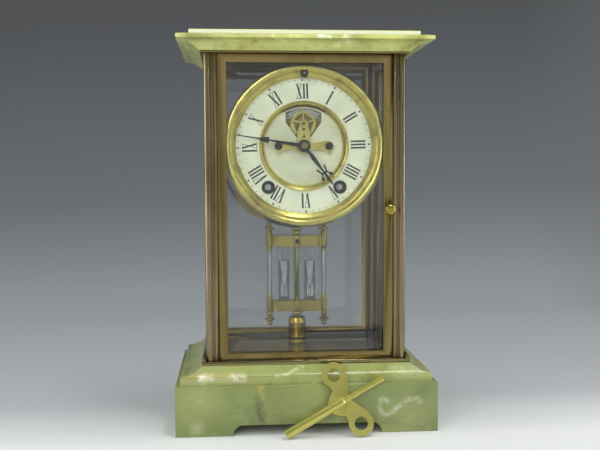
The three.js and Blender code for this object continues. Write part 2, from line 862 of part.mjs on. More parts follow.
function windingCuts() {
  return windingHoles.map((p) => holeY(ferruleNeck + seatGap, p.x, p.y));
}

function shieldCut() {
  const wideAngle = Math.acos(shieldWide / shieldTopRadius);
  const outline = [
    point(-shieldNarrow, shieldBottom),
    point(shieldNarrow, shieldBottom),
    point(shieldWide, shieldShoulder),
    ...arc(point(0, 0), shieldTopRadius, wideAngle, Math.PI - wideAngle),
    point(-shieldWide, shieldShoulder),
  ];
  return plateY(outline, dialFace, frontPlateFront);
}

function lugSolid(side) {
  const reach = [panRadius - lugThickness, postInner + lugPadWidth / 2];
  const padFront = postBack + seatGap;
  const wing = side * (postInner - lugPadWidth / 2);
  const arm = [wing, side * (postInner - lugPadWidth / 2 - lugThickness)].sort((a, b) => a - b);
  const half = lugHeight / 2;
  const pad = [wing, side * reach[1]].sort((a, b) => a - b);
  const panBack = chapterBack + seatGap + panThickness;
  const root = [side * reach[0], wing].sort((a, b) => a - b);
  return join(
    block(...root, panBack - panThickness, panBack, -half, half),
    block(...arm, padFront, panBack, -half, half),
    block(...pad, padFront, padFront + lugThickness, -half, half),
  );
}

function makePan() {
  const front = chapterBack + seatGap;
  const back = front + panThickness;
  const step = chapterInnerRadius + seatGap;
  const recess = discBack + seatGap;
  const profile = [
    [hubHoleRadius, panRecessBack],
    [hubHoleRadius, recess],
    [step, recess],
    [step, front],
    [panRadius, front],
    [panRadius, back],
    [step + panThickness, back],
    [step + panThickness, panRecessBack],
    [hubHoleRadius, panRecessBack],
  ];
  const feet = [30, 150].map((angle) => {
    const foot = polar(dialFootRing, degrees(angle));
    const seat = back - panThickness / 2;
    return rodY(dialFootRadius, seat, frontPlateFront - seatGap, foot.x, foot.y, tinySides);
  });
  const disc = join(turnedY(profile, 0, 0, roundSides), ...feet, lugSolid(-1), lugSolid(1));
  const regulatorCut = holeY(regulatorBore + seatGap, 0, regulatorRise);
  const plate = cut(disc, shieldCut(), regulatorCut, ...windingCuts());
  place(dialGroup, 'dial_plate', plate, materials.plateBrass);
}

function makeChapterRing() {
  const ring = turnedY([
    [chapterInnerRadius, chapterBack],
    [chapterInnerRadius, dialFace],
    [chapterOuterRadius, dialFace],
    [chapterOuterRadius, chapterBack],
    [chapterInnerRadius, chapterBack],
  ], 0, 0, broadSides);
  const regulatorCut = holeY(regulatorBore + seatGap, 0, regulatorRise);
  place(dialGroup, 'dial_chapter_ring', cut(ring, regulatorCut, ...windingCuts()), materials.enamel);
}

function makeBezel() {
  const seat = dialFace - seatGap;
  const beadCentre = bezelRadius - bezelBeadRadius;
  const beadBase = dialFace - bezelHeight;
  const wall = panRadius + seatGap;
  const bead = arc(point(beadCentre, beadBase), bezelBeadRadius, Math.PI, 2 * Math.PI, coarseStepDegrees);
  const profile = [
    [wall, seat],
    [bezelInnerRadius, seat],
    [beadCentre - bezelBeadRadius, beadBase],
    ...bead.map((p) => [p.x, p.y]),
    [bezelRadius, chapterBack],
    [wall, chapterBack],
    [wall, seat],
  ];
  const ring = turnedY(profile, 0, 0, broadSides);
  const collarFront = seat - bezelHeight;
  const collar = rodY(regulatorFerruleRadius, collarFront, seat, 0, regulatorRise);
  const bore = holeY(regulatorBore, 0, regulatorRise);
  place(dialGroup, 'dial_bezel', cut(join(ring, collar), bore), materials.giltBrass);
}

function makeSightRing() {
  const seat = dialFace - seatGap;
  const body = chapterInnerRadius - seatGap;
  const crest = seat - sightRise;
  const slope = (body - sightRadius) / 2;
  const foot = discFront - seatGap;
  const profile = [
    [sightOuterRadius, seat],
    [body, crest],
    [body - slope / 2, crest + sightRise / 4],
    [sightRadius + slope / 2, (seat + foot) / 2],
    [sightRadius, foot],
    [body, foot],
    [body, seat],
    [sightOuterRadius, seat],
  ];
  place(dialGroup, 'dial_sight_ring', turnedY(profile, 0, 0, sightSides), materials.giltBrass);
}

function makeDialCentre() {
  const disc = rodY(centreDiscRadius, discFront, discBack, 0, 0, roundSides);
  const hub = holeY(hubHoleRadius, 0, 0);
  place(dialGroup, 'dial_centre', cut(disc, shieldCut(), hub), materials.enamel);
}

function makeFerrules() {
  const seat = dialFace - seatGap;
  const front = seat - ferruleRise;
  const back = chapterBack + panThickness;
  const lip = (ferruleRadius - ferruleBore) / 3;
  const ferrules = [['winding_ferrule_time', windingHoles[0]], ['winding_ferrule_strike', windingHoles[1]]];
  for (const [name, p] of ferrules) {
    const profile = [
      [ferruleBore, back],
      [ferruleBore, front],
      [ferruleRadius - lip, front],
      [ferruleRadius, front + lip],
      [ferruleRadius, seat],
      [ferruleNeck, seat],
      [ferruleNeck, back],
      [ferruleBore, back],
    ];
    place(dialGroup, name, turnedY(profile, p.x, p.y, ferruleSides), materials.blued);
  }
}

// Toothed wheels: each tooth is a list of [share of the pitch, share of the height]
const pointedTooth = [[0, 1], [0.5, 0]];
const leafTooth = [[-0.22, 0], [0, 1], [0.22, 0]];
const sawTooth = [[0.42, 0], [0.42, 1]];
const addendumShare = 0.85;
const dedendumShare = 1.2;

function toothedOutline(teeth, tipRadius, rootRadius, tooth, phase) {
  const pitch = (2 * Math.PI) / teeth;
  return Array.from({ length: teeth }, (_, i) => tooth.map(([across, up]) => {
    const radius = THREE.MathUtils.lerp(rootRadius, tipRadius, up);
    return polar(radius, phase + pitch * (i + across));
  })).flat();
}

function spokeWindows(count, inner, outer, spokeWidth, phase = 0) {
  return Array.from({ length: count }, (_, i) => {
    const from = phase + (2 * Math.PI * i) / count;
    const to = phase + (2 * Math.PI * (i + 1)) / count;
    const [a, b] = [spokeWidth / 2 / outer, spokeWidth / 2 / inner];
    return [
      ...arc(point(0, 0), outer, from + a, to - a, coarseStepDegrees),
      ...arc(point(0, 0), inner, to - b, from + b, coarseStepDegrees),
    ];
  });
}

function pitchRadius(teeth, module) {
  return (teeth * module) / 2;
}

function gear(teeth, module, tooth, front, back, centre, phase, spokes = 0) {
  const pitch = pitchRadius(teeth, module);
  const [tip, root] = [pitch + addendumShare * module, pitch - dedendumShare * module];
  const outline = toothedOutline(teeth, tip, root, tooth, phase);
  const rim = root - 2 * module;
  const windows = spokes ? spokeWindows(spokes, pitch / 3, rim, 2.5 * module, Math.PI / 2) : [];
  return plateY(outline, front, back, windows).translate([centre.x, 0, centre.y]);
}

// Turning of the second wheel of a pair whose teeth enter the gaps of the first
function meshPhase(from, to, teethFrom, teethTo, phaseFrom) {
  const line = to.clone().sub(from).angle();
  return line + Math.PI + Math.PI / teethTo - ((phaseFrom - line) * teethFrom) / teethTo;
}

// Where two arcs about two centres cross, on the left of the line from the first to the second
function crossing(a, radiusA, b, radiusB, side) {
  const line = b.clone().sub(a);
  const span = line.length();
  const along = (radiusA ** 2 - radiusB ** 2 + span ** 2) / (2 * span);
  const across = Math.sqrt(radiusA ** 2 - along ** 2);
  const unit = line.normalize();
  return point(a.x + unit.x * along - side * unit.y * across, a.y + unit.y * along + side * unit.x * across);
}

// Layout of the arbors, seen from the front
const greatModule = (2 * greatTipRadius) / (greatTeeth + 2 * addendumShare);
const centreAt = point(0, 0);
const timeArborAt = windingHoles[0];
const strikeArborAt = windingHoles[1];
const secondAt = crossing(
  timeArborAt,
  pitchRadius(greatTeeth + secondPinionLeaves, greatModule),
  centreAt,
  pitchRadius(secondTeeth + centrePinionLeaves, secondModule),
  1,
);
const escapeAt = point(0, escapeRise);
const thirdReach = pitchRadius(thirdTeeth + escapePinionLeaves, thirdModule);
const thirdClear = thirdReach + 2 * addendumShare * thirdModule;
const thirdAt = crossing(
  centreAt, pitchRadius(centreTeeth + thirdPinionLeaves, centreModule), escapeAt, thirdClear + seatGap, -1,
);
const minuteWheelAt = point(0, -pitchRadius(cannonLeaves + minuteWheelTeeth, cannonModule));
const hourModule = (-2 * minuteWheelAt.y) / (hourWheelTeeth + minutePinionLeaves);
const anchorAt = point(0, anchorRise);
const hammerAt = point(hammerPivotShare * gongInnerRadius, hammerPivotZ);

// Movement plates, five pillars riveted to the front plate, and the pivot holes
const plateOutline = discHull([
  [-windingSpread, -windingDrop, lowerPlateRadius],
  [windingSpread, -windingDrop, lowerPlateRadius],
  [upperPlateX, upperPlateZ, upperPlateRadius],
  [-upperPlateX, upperPlateZ, upperPlateRadius],
]);
const pillarPlaces = [
  point(-upperPlateX, upperPlateZ),
  point(upperPlateX, upperPlateZ),
  point(-sidePillarX, -sidePillarDrop),
  point(sidePillarX, -sidePillarDrop),
  point(0, -bottomPillarDrop),
];

function arborHole(at, radius) {
  return circle(at, radius + seatGap, tinySides);
}

function pillar(at) {
  const [front, back] = [frontPlateBack - plateThickness / 2, backPlateFront - seatGap];
  const shoulder = plateSpacing / 8;
  return turnedY([
    [0, front],
    [pillarRadius, front],
    [pillarRadius, frontPlateBack + shoulder],
    [pillarWaist, frontPlateBack + 1.4 * shoulder],
    [pillarWaist, back - 1.4 * shoulder],
    [pillarRadius, back - shoulder],
    [pillarRadius, back],
    [0, back],
  ], at.x, at.y, tinySides);
}

function makePlates() {
  const frontHoles = [
    ...windingHoles.map((p) => arborHole(p, windingArborRadius)),
    arborHole(centreAt, centreArborRadius),
    arborHole(secondAt, pivotRadius),
    arborHole(thirdAt, pivotRadius),
    arborHole(escapeAt, arborRadius),
    arborHole(anchorAt, arborRadius),
    arborHole(hammerAt, arborRadius),
  ];
  const stud = rodY(
    pivotRadius, minuteWheelFront - 2 * wheelThickness, frontPlateFront + plateThickness / 2,
    minuteWheelAt.x, minuteWheelAt.y,
  );
  const front = plateY(plateOutline, frontPlateFront, frontPlateBack, frontHoles);
  const framed = join(front, stud, ...pillarPlaces.map(pillar));
  place(dialGroup, 'movement_front_plate', framed, materials.plateBrass);
  const backHoles = [
    ...windingHoles.map((p) => arborHole(p, windingArborRadius)),
    arborHole(centreAt, pivotRadius),
    arborHole(secondAt, pivotRadius),
    arborHole(thirdAt, pivotRadius),
    arborHole(escapeAt, pivotRadius),
    arborHole(anchorAt, arborRadius),
    arborHole(hammerAt, arborRadius),
  ];
  const back = plateY(plateOutline, backPlateFront, backPlateBack, backHoles);
  place(dialGroup, 'movement_back_plate', back, materials.plateBrass);
}

// An arbor with reduced pivots at both ends, from pivot tip to pivot tip
function arbor(at, front, back, body = arborRadius) {
  const [shoulderFront, shoulderBack] = [frontPlateBack + seatGap, backPlateFront - seatGap];
  return turnedY([
    [0, front],
    [pivotRadius, front],
    [pivotRadius, shoulderFront],
    [body, shoulderFront],
    [body, shoulderBack],
    [pivotRadius, shoulderBack],
    [pivotRadius, back],
    [0, back],
  ], at.x, at.y, tinySides);
}

// Going train, each wheel in mesh with the next
const phases = { great: 0 };
phases.secondPinion = meshPhase(timeArborAt, secondAt, greatTeeth, secondPinionLeaves, phases.great);
phases.second = 0;
phases.centrePinion = meshPhase(secondAt, centreAt, secondTeeth, centrePinionLeaves, phases.second);
phases.centre = 0;
phases.thirdPinion = meshPhase(centreAt, thirdAt, centreTeeth, thirdPinionLeaves, phases.centre);
phases.minuteWheel = 0;
phases.cannon = meshPhase(minuteWheelAt, centreAt, minuteWheelTeeth, cannonLeaves, phases.minuteWheel);
phases.minutePinion = 0;
phases.hour = meshPhase(minuteWheelAt, centreAt, minutePinionLeaves, hourWheelTeeth, phases.minutePinion);

function makeGreatWheel(name, at, teeth, spokePhase) {
  const pitch = pitchRadius(teeth, greatModule);
  const [tip, root] = [pitch + addendumShare * greatModule, pitch - dedendumShare * greatModule];
  const outline = toothedOutline(teeth, tip, root, pointedTooth, phases.great);
  const rim = root - 4 * greatModule;
  const windows = spokeWindows(4, ratchetRadius + seatGap, rim, 6 * greatModule, spokePhase);
  const bore = circle(point(0, 0), windingArborRadius + seatGap, smallSides);
  const wheel = plateY(outline, greatFront, greatFront + greatThickness, [bore, ...windows]);
  place(dialGroup, name, wheel.translate([at.x, 0, at.y]), materials.plateBrass);
}

function makeWindingArbor(name, at) {
  const half = windingSquare / 2;
  const squareFront = dialFace - seatGap - ferruleRise / 2;
  const square = plateY(rectangle(-half, -half, half, half), squareFront, squareFront + windingSquareLength);
  const springBack = springFront + springWidth;
  const turned = turnedY([
    [0, squareFront + windingSquareLength - seatGap],
    [windingArborRadius, squareFront + windingSquareLength - seatGap],
    [windingArborRadius, springFront],
    [springHubRadius, springFront],
    [springHubRadius, springBack],
    [windingArborRadius, springBack],
    [windingArborRadius, backPlateBack - seatGap],
    [0, backPlateBack - seatGap],
  ], 0, 0, smallSides);
  const ratchetFront = frontPlateBack + 2 * seatGap;
  const teeth = toothedOutline(ratchetTeeth, ratchetRadius, 0.86 * ratchetRadius, sawTooth, 0);
  const ratchet = plateY(teeth, ratchetFront, ratchetFront + ratchetThickness);
  place(dialGroup, name, join(square, turned, ratchet).translate([at.x, 0, at.y]), materials.steel);
}

// Mainspring: a flat strip coiled round its arbor, its outer end reaching to a pillar
function makeMainspring(name, at, side) {
  const inner = springHubRadius + seatGap + springStripThickness / 2;
  const sweepOut = degrees(60);
  const hook = point(side * sidePillarX - at.x, -sidePillarDrop - at.y);
  const hookReach = hook.length() - pillarWaist - seatGap - springStripThickness / 2;
  const total = springTurns * 2 * Math.PI;
  const endAngle = hook.angle();
  const steps = springTurns * springSteps;
  const sections = [];
  for (let i = 0; i <= steps; i += 1) {
    const travelled = (total * i) / steps;
    const left = total - travelled;
    const coil = THREE.MathUtils.lerp(inner, springOuterRadius, i / steps);
    const lift = THREE.MathUtils.smoothstep(sweepOut - left, 0, sweepOut);
    const radius = THREE.MathUtils.lerp(coil, hookReach, lift);
    const angle = endAngle + side * left;
    const [near, far] = [-0.5, 0.5].map((share) => polar(radius + share * springStripThickness, angle, at));
    const [front, back] = [springFront, springFront + springWidth];
    sections.push([
      new THREE.Vector3(near.x, front, near.y),
      new THREE.Vector3(far.x, front, far.y),
      new THREE.Vector3(far.x, back, far.y),
      new THREE.Vector3(near.x, back, near.y),
    ]);
  }
  place(dialGroup, name, sectionLoft(sections), materials.springSteel);
}

function makeSecondWheel() {
  const pinionFront = greatFront - pinionOverlap;
  const pinionBack = greatFront + greatThickness + pinionOverlap / 2;
  const body = join(
    arbor(secondAt, frontPlateFront + seatGap, backPlateBack - seatGap),
    gear(secondPinionLeaves, greatModule, leafTooth, pinionFront, pinionBack, secondAt, phases.secondPinion),
    gear(
      secondTeeth, secondModule, pointedTooth, secondWheelFront, secondWheelFront + wheelThickness,
      secondAt, phases.second, 3,
    ),
  );
  place(dialGroup, 'second_wheel', body, materials.plateBrass);
}

// Centre arbor: it carries the centre wheel and pinion, the cannon pinion and the nut that holds the hands
function makeCentreWheel() {
  const nutBack = minuteHandFront - seatGap;
  const nutFront = nutBack - handNutHeight;
  const handBack = minuteHandFront + handThickness + seatGap;
  const backShoulder = backPlateFront - seatGap;
  const shaft = turnedY([
    [0, nutFront - seatGap],
    [handTipRadius, nutFront - seatGap],
    [handTipRadius, nutFront],
    [handNutRadius, nutFront],
    [handNutRadius, nutBack],
    [handTipRadius, nutBack],
    [handTipRadius, handBack],
    [centreArborRadius, handBack],
    [centreArborRadius, backShoulder],
    [pivotRadius, backShoulder],
    [pivotRadius, backPlateBack - seatGap],
    [0, backPlateBack - seatGap],
  ], 0, 0, smallSides);
  const pinionFront = secondWheelFront - pinionOverlap / 2;
  const pinionBack = secondWheelFront + wheelThickness + pinionOverlap;
  const cannonFront = minuteWheelFront;
  const cannonBack = frontPlateFront - seatGap;
  const body = join(
    shaft,
    gear(centrePinionLeaves, secondModule, leafTooth, pinionFront, pinionBack, centreAt, phases.centrePinion),
    gear(cannonLeaves, cannonModule, leafTooth, cannonFront, cannonBack, centreAt, phases.cannon),
    gear(
      centreTeeth, centreModule, pointedTooth, centreWheelFront, centreWheelFront + wheelThickness,
      centreAt, phases.centre, 4,
    ),
  );
  place(dialGroup, 'centre_wheel', body, materials.plateBrass);
}

function makeThirdWheel() {
  const pinionFront = centreWheelFront - pinionOverlap;
  const pinionBack = centreWheelFront + wheelThickness + pinionOverlap;
  const body = join(
    arbor(thirdAt, frontPlateFront + seatGap, backPlateBack - seatGap),
    gear(thirdPinionLeaves, centreModule, leafTooth, pinionFront, pinionBack, thirdAt, phases.thirdPinion),
    gear(
      thirdTeeth, thirdModule, pointedTooth, thirdWheelFront, thirdWheelFront + wheelThickness, thirdAt, 0, 3,
    ),
  );
  place(dialGroup, 'third_wheel', body, materials.plateBrass);
}

function makeMinuteWheel() {
  const wheelBack = frontPlateFront - seatGap;
  const pinionFront = hourWheelFront - pinionOverlap / 2;
  const stack = join(
    gear(minuteWheelTeeth, cannonModule, pointedTooth, minuteWheelFront, wheelBack, minuteWheelAt, 0),
    gear(
      minutePinionLeaves, hourModule, leafTooth, pinionFront, minuteWheelFront + seatGap,
      minuteWheelAt, phases.minutePinion,
    ),
  );
  const bore = holeY(pivotRadius + seatGap, minuteWheelAt.x, minuteWheelAt.y);
  place(dialGroup, 'minute_wheel', cut(stack, bore), materials.plateBrass);
}

// Hands, drawn pointing along +X and then turned to the time shown
const noon = Math.PI / 2;
const minuteAngle = noon - 2 * Math.PI * shownMinuteShare;
const hourAngle = noon - 2 * Math.PI * (shownHourShare + shownMinuteShare / 12);

function handPlate(parts, front, hub, bore, angle) {
  const back = front + handThickness;
  const plates = parts.map((discs) => plateY(discHull(discs, coarseStepDegrees), front, back));
  const boss = rodY(hub, front, back, 0, 0, roundSides);
  const hole = holeY(bore, 0, 0);
  return cut(join(boss, ...plates), hole).rotate([0, -THREE.MathUtils.radToDeg(angle), 0]);
}

// Each hand is a row of tapering links between discs, its places and widths shares of its length
function link(length, ...discs) {
  return discs.map(([along, across, radius]) => [along * length, across * length, radius * length]);
}

const hourLinkShares = [
  [[0.12, 0, 0.024], [0.31, 0, 0.046]],
  [[0.31, 0, 0.046], [0.66, 0, 0.017]],
  [[0.66, 0, 0.013], [0.84, 0, 0.034]],
  [[0.84, 0, 0.034], [0.988, 0, 0.01]],
  [[0.69, -0.055, 0.02], [0.69, 0.055, 0.02]],
];
const hourCurlShares = [
  [[0.69, 0.055, 0.013], [0.565, 0.088, 0.02]],
  [[0.69, 0.055, 0.013], [0.75, 0.085, 0.014]],
  [[0.75, 0.085, 0.014], [0.79, 0.105, 0.036]],
];
const minuteLinkShares = [
  [[0.07, 0, 0.017], [0.17, 0, 0.024]],
  [[0.17, 0, 0.024], [0.55, 0, 0.01]],
  [[0.54, -0.04, 0.009], [0.69, 0, 0.012], [0.54, 0.04, 0.009]],
  [[0.69, 0, 0.012], [0.993, 0, 0.007]],
];

function flipped(shares) {
  return shares.map((pair) => pair.map(([along, across, radius]) => [along, -across, radius]));
}

function makeHourHand() {
  const shares = [...hourLinkShares, ...hourCurlShares, ...flipped(hourCurlShares)];
  const parts = shares.map((discs) => link(hourHandLength, ...discs));
  const bore = centreArborRadius + seatGap;
  const hand = handPlate(parts, hourHandFront, handHubRadius, bore, hourAngle);
  const pipeBack = hourWheelFront + wheelThickness * 0.9;
  const pipe = rodY(hourPipeRadius, hourHandFront, pipeBack, 0, 0, smallSides);
  const wheel = gear(
    hourWheelTeeth, hourModule, pointedTooth, hourWheelFront, pipeBack, centreAt, phases.hour,
  );
  place(dialGroup, 'hour_hand', cut(join(hand, pipe, wheel), holeY(bore, 0, 0)), materials.blued);
}

function makeMinuteHand() {
  const parts = minuteLinkShares.map((discs) => link(minuteHandLength, ...discs));
  const hand = handPlate(parts, minuteHandFront, handHubRadius * 0.9, handTipRadius + seatGap, minuteAngle);
  place(dialGroup, 'minute_hand', hand, materials.blued);
}

// Visible escapement: slender slanted teeth on five spokes, two agate pallets, and the bridge over them
function makeEscapeWheel() {
  const root = escapeRadius - escapeToothDepth;
  const slanted = [[-0.3, 0], [-0.42, 1], [0.14, 0]];
  const outline = toothedOutline(escapeTeeth, escapeRadius, root, slanted, noon);
  const windows = spokeWindows(5, root / 3, root - wheelThickness, wheelThickness, noon);
  const wheel = plateY(outline, escapeWheelFront, escapeWheelFront + wheelThickness, windows);
  const bridgePivot = bridgeFront + seatGap;
  const shaft = turnedY([
    [0, bridgePivot],
    [pivotRadius, bridgePivot],
    [pivotRadius, bridgeFront + bridgeThickness + seatGap],
    [arborRadius, bridgeFront + bridgeThickness + seatGap],
    [arborRadius, backPlateFront - seatGap],
    [pivotRadius, backPlateFront - seatGap],
    [pivotRadius, backPlateBack - seatGap],
    [0, backPlateBack - seatGap],
  ], 0, 0, tinySides);
  const pinion = gear(
    escapePinionLeaves, thirdModule, leafTooth, thirdWheelFront - pinionOverlap,
    thirdWheelFront + wheelThickness + pinionOverlap, centreAt, 0,
  );
  const body = join(wheel, shaft, pinion).translate([escapeAt.x, 0, escapeAt.y]);
  place(dialGroup, 'escape_wheel', body, materials.giltBrass);
}

const palletPlaces = [-1, 1].map((side) => {
  return polar(palletRingRadius, noon - side * degrees(palletDegrees), escapeAt);
});

function makeAnchor() {
  const back = anchorFront + anchorThickness;
  const arms = palletPlaces.map((p) => plateY(
    discHull([[p.x, p.y, 2 * palletRadius], [anchorAt.x, anchorAt.y, 1.8 * arborRadius]], coarseStepDegrees),
    anchorFront, back,
  ));
  const sockets = palletPlaces.map((p) => rodY(
    palletRadius + seatGap, anchorFront - cutOverrun, anchorFront + 0.7 * anchorThickness, p.x, p.y,
  ));
  const crutchBack = crutchFront + crutchThickness;
  const shaft = rodY(arborRadius, anchorFront - seatGap, crutchBack, anchorAt.x, anchorAt.y);
  const foot = anchorRise - crutchDrop;
  const drop = plateY(
    discHull([[0, anchorRise, 1.25 * arborRadius], [0, foot, arborRadius]], coarseStepDegrees),
    crutchFront, crutchBack,
  );
  const inner = pendulumRodRadius + seatGap;
  const outer = inner + crutchProng;
  const [low, high] = [foot - crutchProng, foot + crutchProng];
  const fork = [
    block(-outer, outer, crutchFront, crutchBack, low, high),
    block(-outer, -inner, crutchFront, pendulumSetback + inner, low, high),
    block(inner, outer, crutchFront, pendulumSetback + inner, low, high),
  ];
  place(dialGroup, 'anchor', join(cut(join(...arms), ...sockets), shaft, drop, ...fork), materials.steel);
  palletPlaces.forEach((p, i) => {
    const front = anchorFront - palletLength;
    const pin = rodY(palletRadius, front, anchorFront + 0.4 * anchorThickness, p.x, p.y, smallSides);
    place(dialGroup, `pallet_${i ? 'right' : 'left'}`, pin, materials.agate);
  });
}

function makeBridge() {
  const back = bridgeFront + bridgeThickness;
  const arms = [-1, 1].map((side) => {
    const ends = [[side * bridgeScrewSpread, 0, bridgeScrewBoss], [0, 0, bridgeScrewBoss / 3]];
    return plateY(discHull(ends, coarseStepDegrees), bridgeFront, back);
  });
  const leaves = [-1, 1].map((side) => {
    const x = side * bridgeScrewSpread;
    const ends = [[x, 0, bridgeScrewBoss * 0.8], [x, -bridgeLeafDrop, bridgeLeafRadius]];
    return plateY(discHull(ends, coarseStepDegrees), bridgeFront, back);
  });
  const legs = [-1, 1].map((side) => {
    const root = [side * bridgeScrewBoss, bridgeScrewBoss, pivotRadius * 1.8];
    const ends = [root, [0, escapeRise, bridgeHeadRadius]];
    return plateY(discHull(ends, coarseStepDegrees), bridgeFront, back);
  });
  const hub = rodY(bridgeHubRadius, bridgeFront, back, 0, 0, roundSides);
  const feet = [-1, 1].map((side) => rodY(
    0.7 * bridgeScrewBoss, bridgeFront, discFront - seatGap, side * bridgeScrewSpread, 0,
  ));
  const holes = [holeY(hubHoleRadius, 0, 0, ferruleSides), holeY(pivotRadius + seatGap, 0, escapeRise)];
  const bridge = cut(join(hub, ...arms, ...leaves, ...legs, ...feet), ...holes);
  place(dialGroup, 'escapement_bridge', bridge, materials.giltBrass);
}

// Suspension cock on the back plate, its arm reaching through the gong to the pendulum
const suspensionTop = anchorRise + hingePinRadius + seatGap;

function makeCock() {
  const [front, back] = [backPlateBack + seatGap, backPlateBack + seatGap + cockFootThickness];
  const foot = discHull([
    [-cockFootHalfWidth / 2, anchorRise - cockFootHalfWidth, cockFootHalfWidth / 2],
    [cockFootHalfWidth / 2, anchorRise - cockFootHalfWidth, cockFootHalfWidth / 2],
    [0, regulatorRise, 2 * regulatorBore],
  ]);
  const holes = [arborHole(anchorAt, arborRadius), arborHole(point(0, regulatorRise), arborRadius)];
  const arm = block(
    -cockArmHalfWidth, cockArmHalfWidth, back - cockFootThickness / 2, pendulumSetback + cockArmReach,
    suspensionTop + seatGap, suspensionTop + seatGap + cockArmHeight,
  );
  place(dialGroup, 'suspension_cock', join(plateY(foot, front, back, holes), arm), materials.plateBrass);
}

function makeRegulatorArbor() {
  const front = dialFace - seatGap - bezelHeight + seatGap;
  const footBack = backPlateBack + seatGap + cockFootThickness;
  const profile = [
    [0, front],
    [0.7 * arborRadius, front],
    [0.9 * arborRadius, front + 2 * arborRadius],
    [0.9 * arborRadius, footBack + seatGap],
    [2 * arborRadius, footBack + seatGap],
    [3 * arborRadius, footBack + seatGap + 2 * arborRadius],
    [0, footBack + seatGap + 2 * arborRadius],
  ];
  place(dialGroup, 'regulator_arbor', turnedY(profile, 0, regulatorRise, smallSides), materials.steel);
}

// Gong: one wire wound outwards from its block in a flat spiral
const gongCentre = point(0, -gongCentreDrop);
const gongWireSides = 6;

function gongPath() {
  const steps = gongTurns * gongSteps;
  const points = [point(-2 * gongWireRadius, -gongInnerRadius)];
  for (let i = 0; i <= steps; i += 1) {
    const turned = (gongTurns * i) / steps;
    points.push(polar(gongInnerRadius + gongTurnSpacing * turned, 2 * Math.PI * turned - Math.PI / 2));
  }
  const [before, last] = points.slice(-2);
  points.push(last.clone().add(last.clone().sub(before).setLength(2 * gongWireRadius)));
  return points.map((p) => p.add(gongCentre));
}

function makeGong() {
  const path = gongPath();
  const sections = path.map((p, i) => {
    const before = path[Math.max(0, i - 1)];
    const after = path[Math.min(path.length - 1, i + 1)];
    const ahead = after.clone().sub(before).normalize();
    return circle(point(0, 0), gongWireRadius, gongWireSides).map((c) => new THREE.Vector3(
      p.x - c.x * ahead.y,
      gongPlane + c.y,
      p.y + c.x * ahead.x,
    ));
  });
  place(dialGroup, 'gong_coil', sectionLoft(sections), materials.springSteel);
  const right = -2 * gongWireRadius - seatGap;
  const bottom = -gongCentreDrop - gongInnerRadius - gongWireRadius;
  const blockSolid = block(
    right - gongBlockWidth, right, backPlateBack + seatGap, gongPlane + 2 * gongWireRadius,
    bottom, bottom + gongBlockHeight,
  );
  place(dialGroup, 'gong_block', blockSolid, materials.springSteel);
}

// Hammer: its arbor runs in both plates, and its head hangs just inside the gong's inner turn
function makeHammer() {
  const innerWire = gongInnerRadius - gongWireRadius;
  const strikeAngle = -Math.asin((hammerDrop - gongCentreDrop) / innerWire);
  const headAt = polar(innerWire - hammerGap - hammerHeadLength / 2, strikeAngle, gongCentre);
  const head = rodZ(hammerHeadRadius, -hammerHeadLength / 2, hammerHeadLength / 2)
    .rotate([0, 90 - THREE.MathUtils.radToDeg(strikeAngle), 0])
    .translate([headAt.x, gongPlane, headAt.y]);
  const half = hammerArmRadius;
  const arm = plateY(
    discHull([[hammerAt.x, hammerAt.y, 2 * arborRadius], [headAt.x, headAt.y, half]], coarseStepDegrees),
    gongPlane - half, gongPlane + half,
  );
  const shaft = rodY(arborRadius, frontPlateFront + seatGap, gongPlane + half, hammerAt.x, hammerAt.y);
  place(dialGroup, 'hammer', join(head, arm, shaft), materials.steel);
}

// Pendulum: a steel rod, two brass cross bars, two side rods with turned finials, and two tubes of mercury

// A cross bar, its ends bored for the side rods. The upper one carries a collar round the pendulum rod.
function makeBar(name, bottom, top, ...collars) {
  const beam = block(
    -barHalfSpan, barHalfSpan, pendulumSetback - barHalfDepth, pendulumSetback + barHalfDepth, bottom, top,
  );
  const hub = block(
    -hubHalfWidth, hubHalfWidth, pendulumSetback - hubHalfDepth, pendulumSetback + hubHalfDepth, bottom, top,
  );
  const ends = [-1, 1].map((side) => rodZ(barEndRadius, bottom, top, side * barHalfSpan, pendulumSetback));
  const [low, high] = [bottom - cutOverrun, top + rodCollarHeight + cutOverrun];
  const holes = [-1, 1].map((side) => rodZ(
    sideRodRadius + seatGap, low, high, side * barHalfSpan, pendulumSetback,
  ));
  const middle = rodZ(pendulumRodRadius + seatGap, low, high, 0, pendulumSetback);
  place(clock, name, cut(join(beam, hub, ...ends, ...collars), middle, ...holes), materials.giltBrass);
}

function sideRodProfile() {
  const foot = lowerBarBottom - seatGap;
  const ferruleTop = lowerBarTop + seatGap + lowerFerruleHeight;
  const crown = upperBarBottom - seatGap;
  const finialBase = upperBarTop + seatGap;
  const low = bottomFinialLength / 12;
  const high = topFinialLength / 10;
  return [
    [0, foot - 12 * low],
    [0.45 * finialDiscRadius, foot - 11.6 * low],
    [0.6 * finialDiscRadius, foot - 10 * low],
    [finialDiscRadius, foot - 8.2 * low],
    [finialDiscRadius, foot - 6.6 * low],
    [sideFerruleRadius, foot - 5.8 * low],
    [sideFerruleRadius, foot],
    [sideRodRadius, foot],
    [sideRodRadius, lowerBarTop + seatGap],
    [sideFerruleRadius, lowerBarTop + seatGap],
    [sideFerruleRadius, ferruleTop - 2 * low],
    [sideRodRadius, ferruleTop],
    [sideRodRadius, crown - upperFerruleHeight],
    [sideFerruleRadius, crown - 0.6 * upperFerruleHeight],
    [sideFerruleRadius, crown],
    [sideRodRadius, crown],
    [sideRodRadius, finialBase],
    [sideFerruleRadius, finialBase],
    [sideFerruleRadius, finialBase + 3 * high],
    [0.95 * finialDiscRadius, finialBase + 4 * high],
    [0.45 * finialDiscRadius, finialBase + 6 * high],
    [0.6 * finialDiscRadius, finialBase + 8 * high],
    [0, finialBase + 10 * high],
  ];
}

